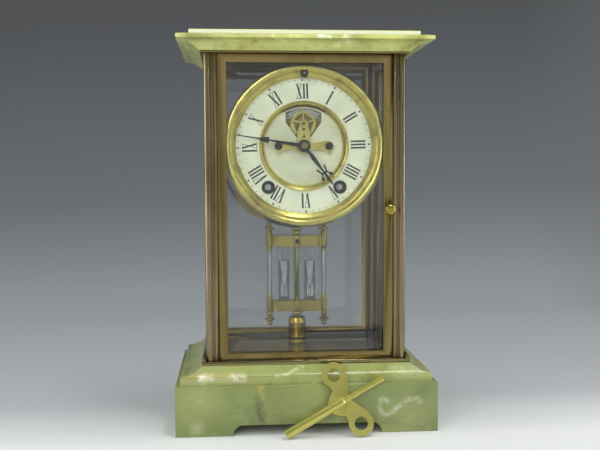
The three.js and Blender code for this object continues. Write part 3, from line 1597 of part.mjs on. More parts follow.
function makePendulum() {
  const collar = rodZ(rodCollarRadius, upperBarBottom, upperBarTop + rodCollarHeight, 0, pendulumSetback);
  makeBar('pendulum_upper_bar', upperBarBottom, upperBarTop, collar);
  makeBar('pendulum_lower_bar', lowerBarBottom, lowerBarTop);
  for (const [hand, side] of [['left', -1], ['right', 1]]) {
    const rod = turnedZ(sideRodProfile(), side * barHalfSpan, pendulumSetback, rodSides);
    place(clock, `pendulum_side_rod_${hand}`, rod, materials.giltBrass);
    const [low, high] = [lowerBarTop + seatGap, upperBarBottom - seatGap];
    const tube = turnedZ([
      [0, low],
      [vialRadius, low],
      [vialRadius, high],
      [vialBore, high],
      [vialBore, low + vialFloor],
      [0, low + vialFloor],
    ], side * vialSpread, pendulumSetback, ferruleSides);
    place(clock, `mercury_tube_${hand}`, tube, materials.glass);
    const column = rodZ(
      vialBore - seatGap, low + vialFloor + seatGap, mercuryTop, side * vialSpread, pendulumSetback,
    );
    place(clock, `mercury_${hand}`, column, materials.mercury);
  }
  const hookTop = dialHeight + suspensionTop - suspensionLength;
  const half = hookSize / 2;
  const rod = rodZ(pendulumRodRadius, lowerBarBottom - rodTipLength, hookTop - seatGap, 0, pendulumSetback);
  const hook = block(
    -half, half, pendulumSetback - half, pendulumSetback + half, hookTop - hookHeight, hookTop,
  );
  const strip = block(
    -suspensionThickness / 2, suspensionThickness / 2,
    pendulumSetback - suspensionWidth / 2, pendulumSetback + suspensionWidth / 2,
    hookTop - seatGap, dialHeight + suspensionTop,
  );
  place(clock, 'pendulum_rod', join(rod, hook, strip), materials.steel);
  const nutTop = lowerBarBottom - seatGap;
  const knurls = toothedOutline(
    ratingNutKnurls, ratingNutRadius, ratingNutRadius - knurlDepth, pointedTooth, 0,
  );
  const bore = circle(point(0, 0), pendulumRodRadius + seatGap, smallSides);
  const nut = plateZ(knurls, nutTop - ratingNutHeight, nutTop, [bore]).translate([0, pendulumSetback, 0]);
  place(clock, 'rating_nut', nut, materials.giltBrass);
}

// Winding key: a pipe with a large socket at one end and a small one at the other, and two ringed wings
function keyWing(side) {
  const waist = keyThickRadius + (keyRingAcross - keyRingRadius) / 2;
  const inside = [
    [keyRootStart, 0],
    [keyRootEnd, 0],
    [keyRingAlong + keyRingRadius * 0.98, keyRingAcross * 0.8],
    [keyRingAlong, keyRingAcross],
    [keyRingAlong - keyRingRadius * 0.75, keyRingAcross - keyRingRadius * 0.6],
    [keyRingAlong - keyRingRadius * 0.72, waist + keyRingRadius * 0.15],
    [keyRootStart + keyRingRadius * 0.7, waist - keyRingRadius * 0.15],
  ];
  const outline = inside.map(([along, across]) => point(along, side * across));
  const web = plateZ(side > 0 ? outline : outline.reverse(), -keyWingThickness / 2, keyWingThickness / 2);
  const ring = [keyRingAlong, side * keyRingAcross];
  const disc = rodZ(keyRingRadius, -keyWingThickness / 2, keyWingThickness / 2, ...ring, ferruleSides);
  const hole = rodZ(keyRingHole, -keyWingThickness, keyWingThickness, ...ring, ferruleSides);
  return cut(join(web, disc), hole);
}

function keySolid() {
  const pipe = turnedY([
    [0, 0],
    [keyThickRadius, 0],
    [keyThickRadius, keyThickLength],
    [keyThinRadius, keyThickLength + keyThickRadius - keyThinRadius],
    [keyThinRadius, keyLength],
    [0, keyLength],
  ], 0, 0, smallSides).rotate([0, 0, -90]);
  const [wide, small] = [keySocket / 2, keySmallSocket / 2];
  const sockets = [
    block(-cutOverrun, keySocketDepth, -wide, wide, -wide, wide),
    block(keyLength - keySocketDepth / 2, keyLength + cutOverrun, -small, small, -small, small),
  ];
  return cut(join(pipe, keyWing(1), keyWing(-1)), ...sockets);
}

function makeKey() {
  const [raise, lean] = [degrees(keyRaise), degrees(keyLean)];
  const key = place(clock, 'winding_key', keySolid(), materials.giltBrass);
  const across = new THREE.Vector3(1, 0, 0);
  const upPlane = new THREE.Vector3(0, Math.sin(lean), Math.cos(lean));
  const pipeAxis = across.clone().multiplyScalar(Math.cos(raise)).addScaledVector(upPlane, Math.sin(raise));
  const wingAxis = across.clone().multiplyScalar(-Math.sin(raise)).addScaledVector(upPlane, Math.cos(raise));
  const normal = pipeAxis.clone().cross(wingAxis);
  key.setRotationFromMatrix(new THREE.Matrix4().makeBasis(pipeAxis, wingAxis, normal));
  const ringDrop = pipeAxis.z * keyRingAlong - wingAxis.z * keyRingAcross;
  const lowest = ringDrop - keyRingRadius * Math.cos(lean) - (keyWingThickness / 2) * Math.abs(normal.z);
  const foot = Math.max(-lowest, keyThickRadius * Math.sqrt(1 - pipeAxis.z ** 2));
  const edgeRun = (baseHeight - foot) * Math.tan(lean);
  const back = (keyThinRadius + seatGap) / Math.cos(lean);
  key.position.set(keyFootX, -baseDepth / 2 - back - edgeRun, foot);
}

makeBase();
makeMoulding();
makeTop();
makeFloor();
makeTopFrame();
makePosts();
makeSideGlass();
makeDoor('front', 0);
makeDoor('back', Math.PI);
makeBoss();
makePan();
makeChapterRing();
makeBezel();
makeSightRing();
makeDialCentre();
makeFerrules();
makePlates();
makeGreatWheel('time_great_wheel', timeArborAt, greatTeeth, 0);
makeGreatWheel('strike_great_wheel', strikeArborAt, strikeGreatTeeth, degrees(20));
makeWindingArbor('time_winding_arbor', timeArborAt);
makeWindingArbor('strike_winding_arbor', strikeArborAt);
makeMainspring('time_mainspring', timeArborAt, -1);
makeMainspring('strike_mainspring', strikeArborAt, 1);
makeSecondWheel();
makeCentreWheel();
makeThirdWheel();
makeMinuteWheel();
makeHourHand();
makeMinuteHand();
makeEscapeWheel();
makeAnchor();
makeBridge();
makeCock();
makeRegulatorArbor();
makeGong();
makeHammer();
makePendulum();
makeKey();

// The origin goes under the middle of everything, the leaning key included
clock.updateMatrixWorld(true);
const extent = new THREE.Box3().setFromObject(clock, true);
clock.position.y = -(extent.min.y + extent.max.y) / 2;

export default clock;
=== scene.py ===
"""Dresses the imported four-glass mantel clock in onyx, brass, bevelled glass, enamel and mercury."""
import math

import bmesh
import bpy
from bpy.props import FloatProperty, FloatVectorProperty, IntProperty, PointerProperty
from bpy.types import Operator, Panel, PropertyGroup
from mathutils import Matrix, Vector


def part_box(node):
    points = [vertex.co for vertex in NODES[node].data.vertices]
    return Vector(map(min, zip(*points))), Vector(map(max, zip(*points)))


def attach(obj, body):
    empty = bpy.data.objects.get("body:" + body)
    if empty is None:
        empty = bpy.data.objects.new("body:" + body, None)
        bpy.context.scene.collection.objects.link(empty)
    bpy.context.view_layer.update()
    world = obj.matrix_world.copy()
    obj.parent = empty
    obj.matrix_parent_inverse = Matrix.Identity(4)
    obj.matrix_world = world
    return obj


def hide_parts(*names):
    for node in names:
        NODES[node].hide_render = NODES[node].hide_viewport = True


bl_info = {
    "name": "Four-Glass Mantel Clock",
    "version": (1, 0, 0),
    "blender": (4, 5, 0),
    "location": "3D View > Sidebar > Clock",
    "description": "Finishes a brass and onyx mantel clock with a visible escapement and a mercury pendulum",
    "category": "Object",
}

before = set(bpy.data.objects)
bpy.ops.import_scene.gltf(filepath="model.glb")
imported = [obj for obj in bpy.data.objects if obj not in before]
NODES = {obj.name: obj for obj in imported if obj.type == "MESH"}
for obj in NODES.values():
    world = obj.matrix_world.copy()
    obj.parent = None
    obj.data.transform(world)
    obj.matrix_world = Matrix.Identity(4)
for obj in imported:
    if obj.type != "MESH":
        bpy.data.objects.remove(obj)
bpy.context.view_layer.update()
MM = 0.001


def corners(node):
    """The lowest and highest corners of a CAD node, in millimetres."""
    low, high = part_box(node)
    return low / MM, high / MM


def middle(node):
    """The middle of a CAD node's box, in millimetres."""
    low, high = corners(node)
    return (low + high) / 2


BASE_MIDDLE = middle("onyx_base")
DIAL = middle("dial_chapter_ring")
ENAMEL_FACE = corners("dial_chapter_ring")[0].y
PENDULUM = middle("pendulum_upper_bar")


# Sizes and colours that a user would change

def length(name, description, default, low=0.0):
    """A size in millimetres."""
    return FloatProperty(name=name, description=description, default=default, min=low, precision=3)


def share(name, description, default):
    """A share from 0 to 1."""
    return FloatProperty(
        name=name, description=description, default=default, min=0.0, max=1.0, subtype="FACTOR",
    )


def linear(code):
    """An sRGB hex colour as linear RGB."""
    channels = [int(code[i:i + 2], 16) / 255 for i in (1, 3, 5)]
    return [c / 12.92 if c <= 0.04045 else ((c + 0.055) / 1.055) ** 2.4 for c in channels]


def colour(name, description, code):
    """A colour from its sRGB hex code."""
    return FloatVectorProperty(
        name=name, description=description, default=linear(code), subtype="COLOR", size=3, min=0.0, max=1.0,
    )


def power(name, description, default):
    """A lamp's power in watts."""
    return FloatProperty(name=name, description=description, default=default, unit="POWER")


class OnyxSettings(PropertyGroup):
    body: colour("Body", "Mossy green of the base block", "#7d8753")
    pale: colour("Pale", "Pale yellow-green of the top and the moulding", "#bbc172")
    cream: colour("Cream", "Cream of the cloudy patches", "#c2c292")
    amber: colour("Amber", "Amber brown of the veins", "#a08f48")
    cloud: length("Cloud size", "Width of one cloudy patch", 26.0)
    vein_gap: length("Vein spacing", "Distance between veins", 60.0)
    roughness: share("Roughness", "Polish of the stone", 0.2)
    edge: length("Edge", "Width of the eased edges", 0.5)


class BrassSettings(PropertyGroup):
    aged: colour("Aged", "Olive brown of the case frame", "#978869")
    tarnish: colour("Tarnish", "Darker patina in patches", "#75684e")
    gilt: colour("Gilt", "Green-yellow of the gilding", "#e8db7c")
    plate: colour("Plate", "Dull brass of the movement", "#c9b57e")
    patina: length("Patina size", "Width of one patch of patina", 26.0)
    brushing: length("Brush spacing", "Distance between brush marks", 0.35)
    edge: length("Edge", "Width of the eased edges", 0.28)


class GlassSettings(PropertyGroup):
    tint: colour("Tint", "Faint grey-green of the panes", "#e3e6e6")
    index: FloatProperty(name="Index", description="Index of refraction", default=1.5, min=1.0, max=2.0)


class DialSettings(PropertyGroup):
    enamel: colour("Enamel", "Warm white of the fired enamel", "#f6f7de")
    centre: colour("Centre enamel", "Cream of the recessed centre", "#e6e8c8")
    ink: colour("Ink", "Black of the numerals", "#22211f")
    numeral_foot: length("Numeral foot", "Radius of the feet of the numerals", 36.4)
    numeral_head: length("Numeral head", "Radius of the heads of the numerals", 47.8)
    thick: length("Thick stroke", "Width of the thick strokes", 1.35)
    thin: length("Thin stroke", "Width of the thin strokes", 0.42)
    pitch: length("Stroke pitch", "Distance from stroke to stroke", 2.5)
    relief: length("Relief", "Height of the fired ink", 0.05)
    track: length("Minute track", "Radius of the minute dots", 50.6)
    dot: length("Minute dot", "Radius of one minute dot", 0.45)
    star: length("Hour dot", "Radius of one five-minute dot", 0.8)
    tilt: FloatProperty(
        name="Dial turn", description="Turn of the printed dial", default=math.radians(1.6), subtype="ANGLE",
    )


class PendulumSettings(PropertyGroup):
    sides: IntProperty(name="Sides", description="Facets round a turned piece", default=64, min=12)
    easing: length("Easing", "Radius of the turned edges", 0.25)
    screw: length("Clamp screw", "Radius of the dark clamp screw", 1.9)


class GongSettings(PropertyGroup):
    turns: IntProperty(name="Turns", description="Turns of the gong", default=4, min=1)
    steps: IntProperty(name="Steps", description="Steps in one turn", default=72, min=12)
    wire: length("Wire radius", "Radius of the gong wire", 1.3)
    inner: length("Inner radius", "Radius of the inner turn", 45.5)
    pitch: length("Pitch", "Distance from turn to turn", 3.8)
    lead: length("Lead", "Straight lead into the block", 2.6)


class StageSettings(PropertyGroup):
    focal: FloatProperty(name="Lens", description="Focal length of the camera", default=52.32, unit="CAMERA")
    floor: colour("Floor", "Pale floor", "#e4e6e5")
    high: colour("Backdrop top", "Slate grey at the top of the backdrop", "#515355")
    low: colour("Floor beside the clock", "Grey of the floor as it leaves the light", "#b2b6b9")
    surround: FloatProperty(name="Surround", description="Strength of the room round the clock", default=1.0)
    key: power("Key light", "Power of the main soft light", 17.0)
    fill: power("Fill light", "Power of the fill light, and of the one overhead", 7.0)
    strip: power("Side strips", "Power of each of the two strip lamps", 1.5)
    spark: power("Spark", "Power of the small lamp of the highlights", 2.2)


SETTINGS = {
    "clock_onyx": OnyxSettings,
    "clock_brass": BrassSettings,
    "clock_glass": GlassSettings,
    "clock_dial": DialSettings,
    "clock_pendulum": PendulumSettings,
    "clock_gong": GongSettings,
    "clock_stage": StageSettings,
}


# Node trees

# The kinds of node that the patterns use most
MATHS = "ShaderNodeMath"
VECTORS = "ShaderNodeVectorMath"
SPLIT = "ShaderNodeSeparateXYZ"
JOIN = "ShaderNodeCombineXYZ"
NOISE = "ShaderNodeTexNoise"
RANGE = "ShaderNodeMapRange"
RAMP = "ShaderNodeValToRGB"
MIX = "ShaderNodeMix"
MAPPING = "ShaderNodeMapping"


def add(tree, kind, sockets=(), **settings):
    """Adds one node with its settings. Its sockets in use are filled by name, or in their order.

    A socket takes a value, or a link from another node's output. A node stands for its first output in use.
    """
    made = tree.nodes.new(kind)
    for name, value in settings.items():
        setattr(made, name, value)
    ready = [socket for socket in made.inputs if socket.enabled]
    if isinstance(sockets, dict):
        named = {socket.name: socket for socket in reversed(ready)}
        filled = [(named[name], value) for name, value in sockets.items()]
    else:
        filled = zip(ready, sockets)
    for socket, value in filled:
        if isinstance(value, bpy.types.Node):
            value = next(output for output in value.outputs if output.enabled)
        if isinstance(value, bpy.types.NodeSocket):
            tree.links.new(value, socket)
        else:
            socket.default_value = value
    return made


def rgba(value):
    """A colour, hex or linear, as linear RGBA."""
    return (*(linear(value) if isinstance(value, str) else value), 1.0)


def with_stops(ramp, stops):
    """Sets a colour ramp's (place, colour) stops."""
    elements = ramp.color_ramp.elements
    while len(elements) < len(stops):
        elements.new(0.5)
    for element, (spot, value) in zip(elements, stops):
        element.position = spot
        element.color = rgba(value)
    return ramp


def per_mm(size):
    """A texture scale, in features per metre, from the size of one feature in millimetres."""
    return 1.0 / (size * MM)


def new_material(name):
    """An empty material. Gives it, its tree and the object's own coordinates."""
    made = bpy.data.materials.new(name)
    made.use_nodes = True
    made.node_tree.nodes.clear()
    return made, made.node_tree, add(made.node_tree, "ShaderNodeTexCoord").outputs["Object"]


def surfaced(made, shader):
    """Ends a material with its shader."""
    add(made.node_tree, "ShaderNodeOutputMaterial", {"Surface": shader})
    return made


def principled(made, sockets):
    """Ends a material with one main shader."""
    return surfaced(made, add(made.node_tree, "ShaderNodeBsdfPrincipled", sockets))


def warped(tree, place, size, amount):
    """Coordinates stirred by a soft noise, so that a pattern bends as mineral bands do."""
    stir = add(tree, NOISE, {"Vector": place, "Scale": per_mm(size), "Detail": 3.0}).outputs["Color"]
    centred = add(tree, VECTORS, (stir, (0.5, 0.5, 0.5)), operation="SUBTRACT")
    push = add(tree, VECTORS, (centred, amount * MM), operation="SCALE")
    return add(tree, VECTORS, (place, push), operation="ADD")


def near(tree, place, centre, radius):
    """1 at a place on the object, falling to 0 at a radius."""
    away = add(tree, VECTORS, (place, [c * MM for c in centre]), operation="DISTANCE")
    return add(tree, RANGE, (away, 0.0, radius * MM, 1.0, 0.0))


def along(tree, place, first, last, width):
    """1 on a line from first to last, in millimetres, falling to 0 at a distance from it."""
    start, end = Vector(first) * MM, Vector(last) * MM
    run = end - start
    away = add(tree, VECTORS, (place, start), operation="SUBTRACT")
    spot = add(tree, VECTORS, (away, run / run.length_squared), operation="DOT_PRODUCT")
    held = add(tree, RANGE, (spot, 0.0, 1.0, 0.0, 1.0))
    reach = add(tree, VECTORS, (run, held), operation="SCALE")
    gap = add(tree, VECTORS, (away, reach), operation="DISTANCE")
    return add(tree, RANGE, (gap, 0.0, width * MM, 1.0, 0.0))


def stained(tree, base, shape, torn, value):
    """A colour with a stain over it: the stain's shape, torn by a finer pattern."""
    cover = add(tree, MATHS, (shape, torn), operation="MULTIPLY")
    return add(tree, MIX, (cover, base, rgba(value)), data_type="RGBA")


def onyx_material(name, settings, tones, veins, patches, streaks, crown=None, curl=()):
    """Polished green onyx, a banded calcite: clouded, with thin amber veins where it broke and healed."""
    ground, deep, light = tones
    made, tree, place = new_material(name)
    stirred = warped(tree, place, settings.cloud, settings.cloud * 0.7)
    clouds = add(tree, NOISE, (stirred, per_mm(settings.cloud), 6.0, 0.6))
    base = with_stops(add(tree, RAMP, (clouds,)), [(0.3, deep), (0.47, ground), (0.6, ground), (0.72, light)])
    flat = add(tree, MAPPING, {"Vector": stirred, "Scale": (0.4, 1.0, 2.2)})
    grain = add(tree, NOISE, (flat, per_mm(settings.cloud * 0.22), 5.0, 0.7))
    haze = add(tree, RANGE, (grain, 0.35, 0.7, 0.0, 0.35))
    base = add(tree, MIX, (haze, base, rgba(light)), data_type="RGBA", blend_type="SOFT_LIGHT")

    leaning = add(tree, MAPPING, {"Vector": stirred, "Rotation": (0.3, 0.5, 0.2), "Scale": (1.0, 1.0, 3.0)})
    bands = add(tree, NOISE, (leaning, per_mm(settings.vein_gap), 3.0, 0.55))
    centred = add(tree, MATHS, (bands, 0.5), operation="SUBTRACT")
    ridge = add(tree, MATHS, (centred,), operation="ABSOLUTE")
    vein = add(tree, RANGE, (ridge, 0.0, 0.02, veins, 0.0))
    broken = add(tree, NOISE, (place, per_mm(settings.vein_gap * 1.3), 4.0, 0.55))
    base = stained(tree, base, vein, add(tree, RANGE, (broken, 0.5, 0.62, 0.0, 1.0)), settings.amber)

    bent = warped(tree, place, 9.0, 5.0)
    mottle = add(tree, NOISE, (place, per_mm(settings.cloud * 0.16), 5.0, 0.75))
    soft_tear = add(tree, RANGE, (grain, 0.35, 0.6, 0.35, 1.0))
    sharp_tear = add(tree, RANGE, (mottle, 0.4, 0.56, 0.2, 1.0))
    for centre, radius, value, strength in patches:
        shape = add(tree, MATHS, (near(tree, bent, centre, radius), strength), operation="MULTIPLY")
        base = stained(tree, base, shape, soft_tear, value)
    for first, last, width, value, strength in streaks:
        shape = add(tree, MATHS, (along(tree, bent, first, last, width), strength), operation="MULTIPLY")
        base = stained(tree, base, shape, sharp_tear, value)
    # Painted highlight: the crown is a pale band on the upright faces above a height. It stands in for light
    # reflected by the raised cap.
    if crown:
        height, value = crown
        rise = add(tree, SPLIT, (place,)).outputs["Z"]
        facing = add(tree, SPLIT, (add(tree, "ShaderNodeNewGeometry").outputs["Normal"],)).outputs["Z"]
        upright = add(tree, RANGE, (facing, 0.3, 0.7, 1.0, 0.0))
        painted_highlight_band = add(tree, RANGE, (rise, (height - PAINTED_HIGHLIGHT_BLUR) * MM, height * MM, 0.0, 1.0))
        base = stained(tree, base, painted_highlight_band, upright, value)
    if curl:
        base = curled(tree, place, base, curl)

    polish = add(tree, NOISE, (place, per_mm(16.0), 3.0, 0.55))
    swell = add(tree, NOISE, (place, per_mm(14.0), 1.0, 0.55))
    rough = settings.roughness
    return principled(made, {
        "Base Color": base, "IOR": 1.55,
        "Roughness": add(tree, RANGE, (polish, 0.3, 0.75, rough * 0.8, rough * 1.5)),
        "Subsurface Weight": 0.08, "Subsurface Radius": (1.0, 1.0, 0.5), "Subsurface Scale": 0.004,
        "Normal": add(tree, "ShaderNodeBump", {"Height": swell, "Distance": 0.15 * MM, "Strength": 0.3}),
    })


def curled(tree, place, base, points):
    """A colour with one healed vein of white calcite over it, wandering from point to point."""
    bent = warped(tree, place, 7.0, 3.0)
    lines = [along(tree, bent, first, last, CURL_WIDTH) for first, last in zip(points, points[1:])]
    shape = lines[0]
    for line in lines[1:]:
        shape = add(tree, MATHS, (shape, line), operation="MAXIMUM")
    cloud = add(tree, NOISE, (place, per_mm(4.5), 5.0, 0.75))
    return stained(tree, base, shape, add(tree, RANGE, (cloud, 0.38, 0.62, 0.05, 0.62)), "#d6dbc0")


def aged_brass_material(name, settings, ground, tarnish, roughness=0.3):
    """Drawn brass, lacquer long gone: an even olive patina, soft brush marks and a few darker patches."""
    made, tree, place = new_material(name)
    tall = add(tree, MAPPING, {"Vector": place, "Scale": (1.0, 1.0, 0.35)})
    patches = add(tree, NOISE, (tall, per_mm(settings.patina), 4.0, 0.5))
    fine = add(tree, NOISE, (place, per_mm(settings.patina * 0.08), 3.0, 0.6))
    base = with_stops(add(tree, RAMP, (patches,)), [(0.3, tarnish), (0.52, ground), (0.8, ground)])
    specks = add(tree, RANGE, (fine, 0.5, 0.8, 0.0, 0.3))
    long = add(tree, MAPPING, {"Vector": place, "Scale": (1.0, 1.0, 0.04)})
    brush = add(tree, NOISE, (long, per_mm(settings.brushing), 2.0, 0.55))
    return principled(made, {
        "Base Color": add(tree, MIX, (specks, base, rgba(tarnish)), data_type="RGBA"), "Metallic": 1.0,
        "Roughness": add(tree, RANGE, (patches, 0.3, 0.7, roughness * 1.2, roughness * 0.9)),
        "Normal": add(tree, "ShaderNodeBump", {"Height": brush, "Distance": 0.01 * MM, "Strength": 0.3}),
    })


def gilt_material(name, settings, ground, roughness=0.24, shade="#b9a95e"):
    """Turned brass under thin fire gilding: pale green-yellow, bright, with faint darker clouds."""
    made, tree, place = new_material(name)
    clouds = add(tree, NOISE, (place, per_mm(settings.patina * 0.5), 4.0, 0.5))
    turning = add(tree, NOISE, (place, per_mm(0.5), 1.0, 0.55))
    return principled(made, {
        "Base Color": with_stops(add(tree, RAMP, (clouds,)), [(0.25, shade), (0.5, ground), (0.8, ground)]),
        "Metallic": 1.0,
        "Roughness": add(tree, RANGE, (clouds, 0.3, 0.7, roughness * 1.15, roughness * 0.95)),
        "Normal": add(tree, "ShaderNodeBump", {"Height": turning, "Distance": 0.001 * MM, "Strength": 0.2}),
    })


def steel_material(name, ground, edge, roughness):
    """Hardened steel, ground and let down to a colour: smooth, with faint grinding marks."""
    made, tree, place = new_material(name)
    tone = add(tree, NOISE, (place, per_mm(5.0), 4.0, 0.55))
    long = add(tree, MAPPING, {"Vector": place, "Scale": (1.0, 1.0, 0.1)})
    marks = add(tree, NOISE, (long, per_mm(0.5), 2.0, 0.55))
    return principled(made, {
        "Base Color": with_stops(add(tree, RAMP, (tone,)), [(0.3, ground), (0.7, edge)]),
        "Metallic": 1.0, "Roughness": roughness,
        "Normal": add(tree, "ShaderNodeBump", {"Height": marks, "Distance": 0.01 * MM, "Strength": 0.4}),
    })


def enamel_material(name, ground, shade):
    """Glass enamel fired on copper: glossy warm white, very slightly uneven."""
    made, tree, place = new_material(name)
    tone = add(tree, NOISE, (place, per_mm(18.0), 3.0, 0.55))
    ripple = add(tree, NOISE, (place, per_mm(7.0), 2.0, 0.55))
    return principled(made, {
        "Base Color": with_stops(add(tree, RAMP, (tone,)), [(0.3, shade), (0.6, ground)]),
        "Roughness": 0.14, "IOR": 1.5,
        "Normal": add(tree, "ShaderNodeBump", {"Height": ripple, "Distance": 0.03 * MM, "Strength": 0.3}),
    })


def mottled_material(name, size, detail, dark, light, sockets, stretch=None):
    """A plain surface whose colour drifts between two tones."""
    made, tree, place = new_material(name)
    if stretch:
        place = add(tree, MAPPING, {"Vector": place, "Scale": stretch})
    tone = add(tree, NOISE, (place, per_mm(size), detail, 0.55))
    return principled(made, {"Base Color": with_stops(add(tree, RAMP, (tone,)), [dark, light]), **sockets})


def glass_material(name, settings):
    """Polished plate glass. Lamps light what stands behind it, as through a real pane."""
    made, tree, place = new_material(name)
    smear = add(tree, NOISE, (place, per_mm(30.0), 4.0, 0.55))
    pane = add(tree, "ShaderNodeBsdfPrincipled", {
        "Base Color": with_stops(add(tree, RAMP, (smear,)), [(0.3, tuple(settings.tint)), (0.7, "#eaecec")]),
        "Roughness": 0.0, "IOR": settings.index, "Transmission Weight": 1.0,
    })
    clear = add(tree, "ShaderNodeBsdfTransparent", {"Color": (0.93, 0.95, 0.93, 1.0)})
    rays = add(tree, "ShaderNodeLightPath").outputs
    soft = add(tree, MATHS, (rays["Is Shadow Ray"], rays["Is Diffuse Ray"]), operation="MAXIMUM")
    return surfaced(made, add(tree, "ShaderNodeMixShader", (soft, pane, clear)))


# The stone's profiles, in millimetres
MOULDING_FILLET = 5.7
OGEE_RISE = 8.0
SLAB_EDGE = 2.7
CAP_INSET = 9.2
CAP_RISE = 4.7
# Blur of the lower edge of the top's painted highlight
PAINTED_HIGHLIGHT_BLUR = 0.4
OGEE_STEPS = 20


def ogee_shares(t):
    """How far in, and how far up, an ogee has come at share t of its run."""
    return math.sin(t * math.pi / 2), t - math.sin(2 * math.pi * t) / (4 * math.pi)


def block_point(x, z):
    """A point on the front of the onyx block."""
    return (x, corners("onyx_base")[0].y, z)


def slope_point(x, t):
    """A point on the front slope of the base's moulding, at share t of its ogee."""
    low, high = corners("base_moulding")
    inset, rise = ogee_shares(t)
    foot = low.z + MOULDING_FILLET
    return (x, low.y + (corners("case_floor")[0].y - low.y) * inset, foot + (high.z - foot) * rise)


def cap_point(x, t):
    """A point on the front of the top: t from -1 to 0 down its slab's edge, from 0 to 1 down its ogee."""
    low = corners("onyx_top")[0]
    slab_bottom = low.z + OGEE_RISE
    if t < 0:
        return (x, low.y, slab_bottom - SLAB_EDGE * t)
    inset, rise = ogee_shares(t)
    return (x, low.y + (corners("case_floor")[0].y - low.y) * inset, slab_bottom - OGEE_RISE * rise)


def laid(place_on, marks):
    """Streaks with both of their ends laid on the stone's surface."""
    return [(place_on(*first), place_on(*last), *rest) for first, last, *rest in marks]


# The stone's marks on its front, in millimetres. A patch has its middle, radius, colour and strength.
BLOCK_PATCHES = [
    ((-20.0, 18.0), 26.0, "#6f7544", 0.45),
    ((10.0, 30.0), 34.0, "#a7ad62", 0.4),
    ((-82.0, 26.0), 24.0, "#a9b06a", 0.45),
    ((-83.0, 6.0), 8.0, "#bfc596", 0.6),
    ((78.0, 10.0), 26.0, "#abb276", 0.5),
    ((40.0, 24.0), 18.0, "#7c8650", 0.5),
]
# A streak has its two ends, half width, colour and strength. On the block an end is (x, z).
BLOCK_STREAKS = [
    ((-35.5, 38.0), (-35.0, 28.0), 3.2, "#aa9a52", 0.85),
    ((-38.0, 26.0), (-34.5, 11.0), 5.5, "#474c30", 0.8),
    ((-44.0, 20.0), (-41.0, 8.0), 5.0, "#5c6238", 0.6),
]
# On the moulding and the top an end is x and a share of the profile, for slope_point and cap_point.
MOULDING_STREAKS = [
    ((-93.0, 0.02), (-58.0, 0.04), 5.5, "#b7b482", 0.8),
    ((-94.0, 0.02), (-83.0, 0.06), 3.6, "#a08f4a", 0.95),
    ((-88.0, 0.2), (-79.0, 0.3), 3.0, "#a6944a", 0.9),
    ((-80.0, 0.04), (-73.0, 0.05), 4.6, "#ece9d6", 1.0),
    ((-57.0, 0.02), (-49.0, 0.02), 4.6, "#e6e3c8", 1.0),
    ((-74.0, 0.2), (-58.0, 0.22), 2.6, "#b3a050", 0.9),
    ((-24.0, 0.0), (-17.0, 0.27), 2.0, "#cfd3a4", 0.95),
    ((-17.0, 0.27), (-3.0, 0.7), 2.0, "#cfd3a4", 0.95),
    ((-2.0, 0.7), (10.5, 0.05), 1.3, "#7d7340", 0.9),
    ((68.0, 0.4), (93.0, 0.2), 6.5, "#bcc492", 0.8),
]
TOP_PATCHES = [
    ((-86.0, -2.0), 12.0, "#8d9048", 0.8),
    ((-96.0, 2.0), 6.0, "#cdcd88", 0.7),
    ((-4.0, 0.0), 22.0, "#cdd482", 0.6),
    ((70.0, 0.0), 24.0, "#cfd684", 0.7),
]
TOP_STREAKS = [
    ((-62.0, 0.72), (60.0, 0.76), 3.0, "#98a255", 0.6),
    ((-86.0, -0.5), (-68.0, 0.1), 6.0, "#8b9150", 0.9),
    ((-66.0, 0.15), (-44.0, 0.3), 5.0, "#d8d380", 0.9),
    ((-48.0, 0.6), (-38.0, 0.3), 4.5, "#9d9346", 0.9),
    ((-37.0, -0.7), (-27.0, 0.1), 5.0, "#b3a468", 0.85),
    ((-25.0, -0.6), (-15.0, 0.25), 2.6, "#e6e9a4", 1.0),
    ((-11.0, -0.4), (-2.0, 0.15), 4.5, "#e3e39a", 1.0),
    ((9.0, -0.8), (17.0, 0.0), 3.0, "#f0f2da", 1.0),
    ((36.0, -0.6), (46.0, 0.55), 6.5, "#a29d5c", 0.85),
    ((52.0, -0.1), (71.0, 0.15), 4.2, "#e0dd80", 1.0),
    ((76.0, 0.75), (88.0, 0.0), 7.0, "#8a8336", 0.9),
    ((90.0, -0.5), (97.0, 0.0), 4.0, "#d2d284", 0.9),
    ((-97.0, -0.5), (-90.0, 0.0), 3.0, "#d0d28a", 0.8),
]
CURL = [
    (61.5, 23.8), (58.4, 25.8), (54.9, 24.4), (53.8, 20.5), (55.7, 16.0), (60.1, 13.1), (65.6, 16.7),
    (70.8, 21.1), (77.0, 24.9), (82.5, 26.0), (86.6, 22.9),
]
CURL_WIDTH = 2.9

MATERIALS = {}


def make_stones(onyx):
    """The three stones: the mossy block, the clouded moulding and the pale top, with a painted highlight
    along the upright faces of its raised cap.
    """
    cap = corners("onyx_top")[0]
    top = middle("onyx_top").z
    slope = corners("base_moulding")[0].y
    MATERIALS["block"] = onyx_material(
        "Green onyx", onyx, (tuple(onyx.body), "#6f7947", "#8f9862"), 0.0,
        [(block_point(*spot), *rest) for spot, *rest in BLOCK_PATCHES], laid(block_point, BLOCK_STREAKS),
        curl=[block_point(*spot) for spot in CURL],
    )
    MATERIALS["moulding"] = onyx_material(
        "Clouded onyx", onyx, ("#969d60", "#767e44", "#bcc090"), 0.7,
        [((-60.0, slope + 5.0, 46.0), 30.0, "#a3a868", 0.4)], laid(slope_point, MOULDING_STREAKS),
    )
    cream = [((-66.0, cap.y, top), 24.0, tuple(onyx.cream), 0.4)]
    MATERIALS["top"] = onyx_material(
        "Pale onyx", onyx, (tuple(onyx.pale), "#959a4e", "#dcdfae"), 0.6,
        cream + [((x, cap.y, top + rise), *rest) for (x, rise), *rest in TOP_PATCHES],
        # Painted highlight: a whitish band on the upright faces of the raised cap, where the light reflects.
        laid(cap_point, TOP_STREAKS), (cap.z + OGEE_RISE + SLAB_EDGE + CAP_RISE / 3, "#dcdfc6"),
    )


